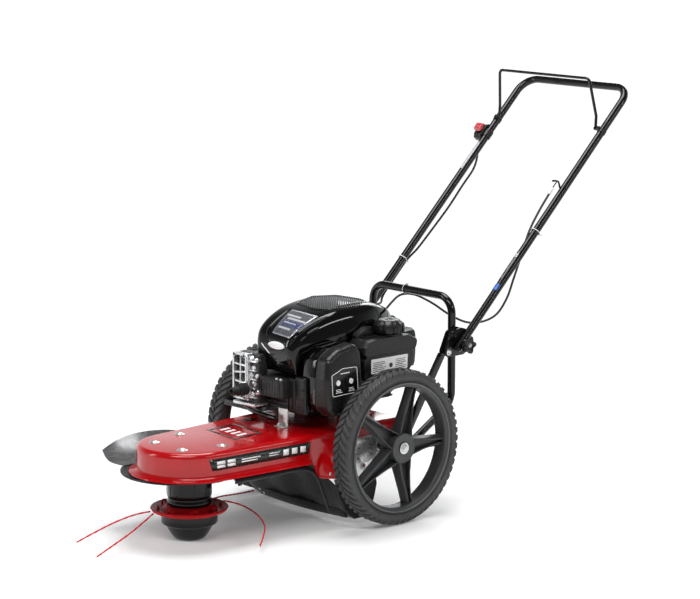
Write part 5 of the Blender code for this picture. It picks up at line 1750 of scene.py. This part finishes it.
def make_air_cleaner():
    """The filter housing, its tipping cover and the plain label on it."""
    bm = bmesh.new()
    rows = []
    for x, share in ((0.0860, 0.86), (0.0890, 0.93), (0.0950, 0.965), (0.1340, 0.970), (0.1345, 0.945),
                     (0.1392, 0.945)):
        rows.append((x, scaled(AIR_OUTLINE, AIR_CENTRE, share), 0.018))
    side_loft(bm, rows, 8)
    base = bevel(finish_mesh(bm, "filter_base", "gloss_plastic"), 0.0008, 2, 50)
    place_on(base, "frame", ["air_cleaner_base"])
    bm = bmesh.new()
    rows = [(0.1399, AIR_OUTLINE, 0.020), (0.1660, AIR_OUTLINE, 0.020)]
    for turn in (0.2, 0.4, 0.6, 0.8, 1.0):
        a = turn * math.pi / 2
        rows.append((0.1660 + 0.0190 * math.sin(a),
                     scaled(AIR_OUTLINE, AIR_CENTRE, 1 - 0.16 * (1 - math.cos(a))), 0.018))
    side_loft(bm, rows, 8)
    tuck(bm)
    cover = finish_mesh(bm, "filter_cover", "black_plastic", angle=32)
    place_on(cover, "air_cleaner_cover", ["air_cleaner_cover"])
    bm = bmesh.new()
    lip = [(x, scaled(AIR_OUTLINE, AIR_CENTRE, share), 0.020) for x, share in
           ((0.1400, 1.0), (0.1400, 1.012), (0.1420, 1.012), (0.1424, 1.0))]
    made = [rounded_outline([at(x, b, z) for b, z in outline], r, 6) for x, outline, r in lip]
    loft(bm, made, wrap=True, loop_rows=True)
    tuck(bm)
    piece(bm, "filter_lip", "dark_plastic", "air_cleaner_cover")
    label = [(0.2720, 0.3125), (0.3490, 0.3140), (0.3490, 0.3710), (0.3060, 0.3725), (0.2720, 0.3600)]
    bm = bmesh.new()
    flat = rounded_outline([at(0.1848, b, z) for b, z in label], 0.003, 3)
    prism(bm, flat, (0.0009, 0, 0))
    tuck(bm)
    piece(bm, "filter_label", "label_black", "air_cleaner_cover")
    bm = bmesh.new()
    edge = [p + Vector((0.0009, 0, 0)) for p in flat]
    tube(bm, edge + [edge[0]], 0.0007, 6, False)
    block(bm, at(0.1856, 0.2990, 0.3605), at(0.1860, 0.3260, 0.3625))
    for start in (0.281, 0.320):
        block(bm, at(0.1856, start, 0.3190), at(0.1860, start + 0.019, 0.3204))
        block(bm, at(0.1856, start + 0.002, 0.3225), at(0.1860, start + 0.017, 0.3238))
        block(bm, at(0.1856, start + 0.001, 0.3260), at(0.1860, start + 0.015, 0.3272))
    for b in (0.2905, 0.3295):
        lathe(bm, [(0.0, 0.0005), (0.0062, 0.0005), (0.0062, 0.0), (0.0, 0.0)], at(0.1856, b, 0.3415), "X",
              24)
    tuck(bm)
    piece(bm, "filter_label_marks", "white_print", "air_cleaner_cover")


def make_tank():
    """Blow-moulded tank: a full upper half over a narrower lower half, a pinch weld, a neck and a label."""
    upper = [(0.378, 0.384), (0.380, 0.408), (0.396, 0.4225), (0.470, 0.4245), (0.522, 0.423),
             (0.5535, 0.408), (0.548, 0.388), (0.520, 0.380)]
    lower = [(0.381, 0.328), (0.378, 0.384), (0.540, 0.386), (0.534, 0.350), (0.520, 0.334), (0.430, 0.326)]
    bm = bmesh.new()
    side_loft(bm, [(0.1120, upper, 0.010), (0.1550, upper, 0.010),
                   (0.1640, scaled(upper, (0.465, 0.402), 0.985), 0.010),
                   (0.1692, scaled(upper, (0.465, 0.402), 0.93), 0.008)], 5)
    half = finish_mesh(bm, "tank_upper", "black_plastic", angle=34)
    place_on(half, "frame", ["fuel_tank"])
    bm = bmesh.new()
    side_loft(bm, [(0.1120, lower, 0.012), (0.1610, lower, 0.012),
                   (0.1675, scaled(lower, (0.46, 0.355), 0.975), 0.012)], 5)
    piece(bm, "tank_lower", "black_plastic", "frame", angle=34)
    bm = bmesh.new()
    lobe = [(0.0790, 0.512), (0.0840, 0.572), (0.125, 0.5755), (0.150, 0.560), (0.158, 0.520), (0.140, 0.496),
            (0.100, 0.498)]
    rows = []
    for z, share in ((0.341, 0.90), (0.350, 0.97), (0.375, 1.0), (0.412, 1.0), (0.4215, 0.96),
                     (0.4255, 0.88)):
        flat = [at(0.1155 + (x - 0.1155) * share, 0.535 + (b - 0.535) * share, z) for x, b in lobe]
        rows.append(rounded_outline(flat, 0.012, 5))
    loft(bm, rows, wrap=True)
    cap_low, cap_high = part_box("fuel_cap")
    neck = Vector(((cap_low.x + cap_high.x) / 2, (cap_low.y + cap_high.y) / 2, cap_low.z))
    lathe(bm, [(0.0300, -0.010), (0.0300, -0.002), (0.0280, -0.0004), (0.0, -0.0004), (0.0, -0.010)], neck,
          "Z", 44)
    hump = [(0.388, 0.418), (0.400, 0.434), (0.424, 0.4455), (0.442, 0.4455), (0.452, 0.430), (0.452, 0.418)]
    side_loft(bm, [(0.1085, scaled(hump, (0.424, 0.425), 0.86), 0.006), (0.1115, hump, 0.007),
                   (0.1230, hump, 0.007), (0.1275, scaled(hump, (0.424, 0.425), 0.80), 0.006)])
    piece(bm, "tank_filler", "black_plastic", "frame", angle=34)
    bm = bmesh.new()
    path = [at(0.1690, 0.385, 0.3850), at(0.1690, 0.470, 0.3848), at(0.1685, 0.535, 0.3850)]
    tube(bm, dense(path, 0.01), 0.0011, 8)
    for k, (x, b) in enumerate(((0.125, 0.400), (0.140, 0.404))):
        block(bm, at(x, b, 0.4240), at(x + 0.004, b + 0.060 - 0.012 * k, 0.4262))
    piece(bm, "tank_seams", "black_plastic", "frame", edge=(0.0006, 2, 50))
    corners = [(0.402, 0.344), (0.515, 0.344), (0.517, 0.377), (0.402, 0.378)]
    bm = bmesh.new()
    flat = rounded_outline([at(0.1676, b, z) for b, z in corners], 0.002, 3)
    prism(bm, flat, (0.0009, 0, 0))
    piece(bm, "tank_label", "white_print", "frame")
    bm = bmesh.new()
    for k in range(6):
        z = 0.3475 + 0.0042 * k
        start = 0.406 + 0.002 * (k % 2)
        block(bm, at(0.16845, start, z), at(0.1687, start + (0.040, 0.034, 0.042, 0.028, 0.040, 0.036)[k],
                                            z + 0.0014))
        block(bm, at(0.16845, 0.478, z), at(0.1687, 0.478 + (0.030, 0.032, 0.024, 0.033, 0.029, 0.031)[k],
                                            z + 0.0014))
    lathe(bm, [(0.0, 0.0004), (0.0055, 0.0004), (0.0055, 0.0), (0.0, 0.0)], at(0.16845, 0.463, 0.358), "X",
          18)
    piece(bm, "tank_label_marks", "label_dark", "frame")


def make_fuel_cap():
    """The lobed cap with fine ribs and a bar across its top."""
    low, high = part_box("fuel_cap")
    centre = Vector(((low.x + high.x) / 2, (low.y + high.y) / 2, low.z))
    tall = high.z - low.z
    reach = (high.x - low.x) / 2
    levels = [(0.0, 0.90), (0.06, 0.98), (0.30, 1.0), (0.62, 1.0), (0.72, 0.97), (0.80, 0.88), (0.90, 0.78),
              (1.0, 0.70), (1.0, 0.30), (0.94, 0.26), (0.94, 0.10)]
    rows = []
    for share, size in levels:
        ring = []
        for k in range(96):
            a = 2 * math.pi * k / 96
            lobe = 1.0 - (0.055 * (0.5 - 0.5 * math.cos(8 * a)) ** 2 if 0.05 < share < 0.95 else 0.02)
            r = reach * size * lobe
            ring.append(centre + Vector((r * math.cos(a), r * math.sin(a), tall * share)))
        rows.append(ring)
    bm = bmesh.new()
    loft(bm, rows, wrap=True)
    piece(bm, "cap_body", "black_plastic", "fuel_cap", ["fuel_cap"], angle=45)
    bm = bmesh.new()
    for k in range(24):
        a = 2 * math.pi * (k + 0.5) / 24
        out = Vector((math.cos(a), math.sin(a), 0))
        side = Vector((-math.sin(a), math.cos(a), 0)) * 0.0007
        foot = centre + out * (reach * 0.955)
        prism(bm, [foot - side + Vector((0, 0, tall * 0.08)), foot + side + Vector((0, 0, tall * 0.08)),
                   foot + side + Vector((0, 0, tall * 0.60)), foot - side + Vector((0, 0, tall * 0.60))],
              out * 0.0020)
    block(bm, centre + Vector((-0.013, -0.0022, tall * 0.93)), centre + Vector((0.013, 0.0022, tall * 0.985)))
    piece(bm, "cap_ribs", "black_plastic", "fuel_cap")


def make_recoil():
    """The starter grip, waisted between its ends."""
    low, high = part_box("recoil_grip")
    centre = (low + high) / 2
    half = (high.x - low.x) / 2
    bm = bmesh.new()
    levels = [(-1.0, 0.55), (-0.94, 0.85), (-0.70, 1.0), (-0.35, 0.88), (0.0, 0.82), (0.35, 0.88),
              (0.70, 1.0), (0.94, 0.85), (1.0, 0.55)]
    rows = []
    for share, size in levels:
        ring = []
        for k in range(28):
            a = 2 * math.pi * k / 28
            ring.append(centre + Vector((half * share, math.cos(a) * (high.y - low.y) / 2 * size,
                                         math.sin(a) * (high.z - low.z) / 2 * size)))
        rows.append(ring)
    loft(bm, rows, wrap=True)
    piece(bm, "pull_grip", "rubber", "recoil_grip", ["recoil_grip"], angle=50)


# ---------------------------------------------------------------- trimmer head
def make_trimmer_head():
    """The spindle housing, the line disc with its guides, and the dome that glides on the ground."""
    low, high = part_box("spindle_housing")
    centre = Vector((HEAD.x, HEAD_Y, 0))
    reach = (high.x - low.x) / 2
    profile = [(0.0, high.z), (reach * 0.80, high.z), (reach * 0.97, high.z - 0.003), (reach, high.z - 0.008),
               (reach, low.z + 0.020), (reach * 0.965, low.z + 0.017), (reach * 0.965, low.z + 0.012),
               (reach, low.z + 0.009), (reach * 0.98, low.z), (0.0, low.z)]
    bm = bmesh.new()
    lathe(bm, profile, centre, "Z", 72)
    for k in range(10):
        a = 2 * math.pi * (k + 0.3) / 10
        out = Vector((math.cos(a), math.sin(a), 0))
        side = Vector((-math.sin(a), math.cos(a), 0)) * 0.0016
        foot = centre + out * (reach * 0.97) + Vector((0, 0, low.z + 0.022))
        up = Vector((0, 0, high.z - low.z - 0.032))
        prism(bm, [foot - side, foot + side, foot + side + up, foot - side + up], out * (reach * 0.045))
    piece(bm, "head_housing", "head_black", "frame", ["spindle_housing"],
          edge=(0.0006, 2, 50))
    low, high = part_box("head_ring")
    reach = (high.x - low.x) / 2
    inner = 0.030
    profile = [(inner, low.z + 0.004), (reach * 0.62, low.z + 0.001), (reach * 0.86, low.z + 0.0015),
               (reach * 0.965, low.z + 0.006), (reach, low.z + 0.0115), (reach * 0.975, low.z + 0.0135),
               (reach * 0.90, low.z + 0.0105), (reach * 0.72, low.z + 0.0085),
               (reach * 0.64, high.z - 0.0045), (reach * 0.60, high.z - 0.0008), (inner, high.z - 0.0008)]
    bm = bmesh.new()
    lathe(bm, profile, centre, "Z", 80, True)
    piece(bm, "line_disc", "red_plastic", "spindle", ["head_ring"], angle=30)
    bm = bmesh.new()
    for k in range(8):
        a = 2 * math.pi * k / 8 + 0.26
        out = Vector((math.cos(a), math.sin(a), 0))
        side = Vector((-math.sin(a), math.cos(a), 0))
        foot = centre + out * (reach * 0.80) + Vector((0, 0, low.z + 0.006))
        hook = [foot - side * 0.007, foot - side * 0.007 + Vector((0, 0, 0.009)),
                foot + Vector((0, 0, 0.0125)) + out * 0.002, foot + side * 0.007 + Vector((0, 0, 0.009)),
                foot + side * 0.007]
        tube(bm, dense(rounded(hook, 0.003, 4), 0.003), 0.0019, 10)
    piece(bm, "line_guides", "red_plastic", "spindle")
    low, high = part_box("ground_ball")
    reach = (high.x - low.x) / 2
    profile = [(0.0, low.z), (reach * 0.42, low.z)]
    profile += [(reach * r, low.z + z) for r, z in
                ((0.50, 0.0010), (0.57, 0.0036), (0.66, 0.0110), (0.745, 0.0200), (0.820, 0.0290),
                 (0.850, 0.0325), (0.865, 0.0338), (0.945, 0.0352), (0.985, 0.0372), (1.0, 0.0400),
                 (1.0, 0.0530))]
    profile += [(reach, high.z - 0.0012), (reach * 0.975, high.z), (reach * 0.90, high.z - 0.0006),
                (0.0, high.z - 0.006)]
    bm = bmesh.new()
    lathe(bm, profile, centre, "Z", 72)
    piece(bm, "glide_dome", "head_black", "ground_ball", ["ground_ball"], angle=50)
    bm = bmesh.new()
    hex_bolt(bm, centre + Vector((0, 0, low.z + 0.0046)), Vector((0, 0, -1)), 0.0060, 0.0040, 0.0090)
    piece(bm, "dome_bolt", "zinc", "ground_ball")


def paint_kept_nodes():
    """The CAD nodes that stay in view take the finish of their own slot."""
    for node, slot in CAD_SLOTS.items():
        obj = bpy.data.objects.get(node)
        if obj is not None and obj.type == "MESH":
            obj.data.materials.clear()
            obj.data.materials.append(M[slot])


make_lines()
make_camera()
make_world()
make_lamps()
make_floor()
make_deck()
make_deck_fittings()
make_deck_labels()
make_shield()
make_deflector()
make_under_plate()
make_axle_plates()
for side_name, side_sign in SIDES:
    make_tyre(side_name, side_sign)
    make_rim(side_name, side_sign)
make_wheel_bolts()
make_handles()
make_handle_stickers()
make_ties()
make_braces()
make_brackets()
make_knobs()
make_bail()
make_throttle()
make_cables()
COVER_SKIN = make_cover()
make_grille(COVER_SKIN)
make_cover_details(COVER_SKIN)
make_engine_block()
make_cylinder_head()
make_plug_boot()
make_intake_box()
make_exhaust()
make_air_cleaner()
make_tank()
make_fuel_cap()
make_recoil()
make_trimmer_head()
paint_kept_nodes()
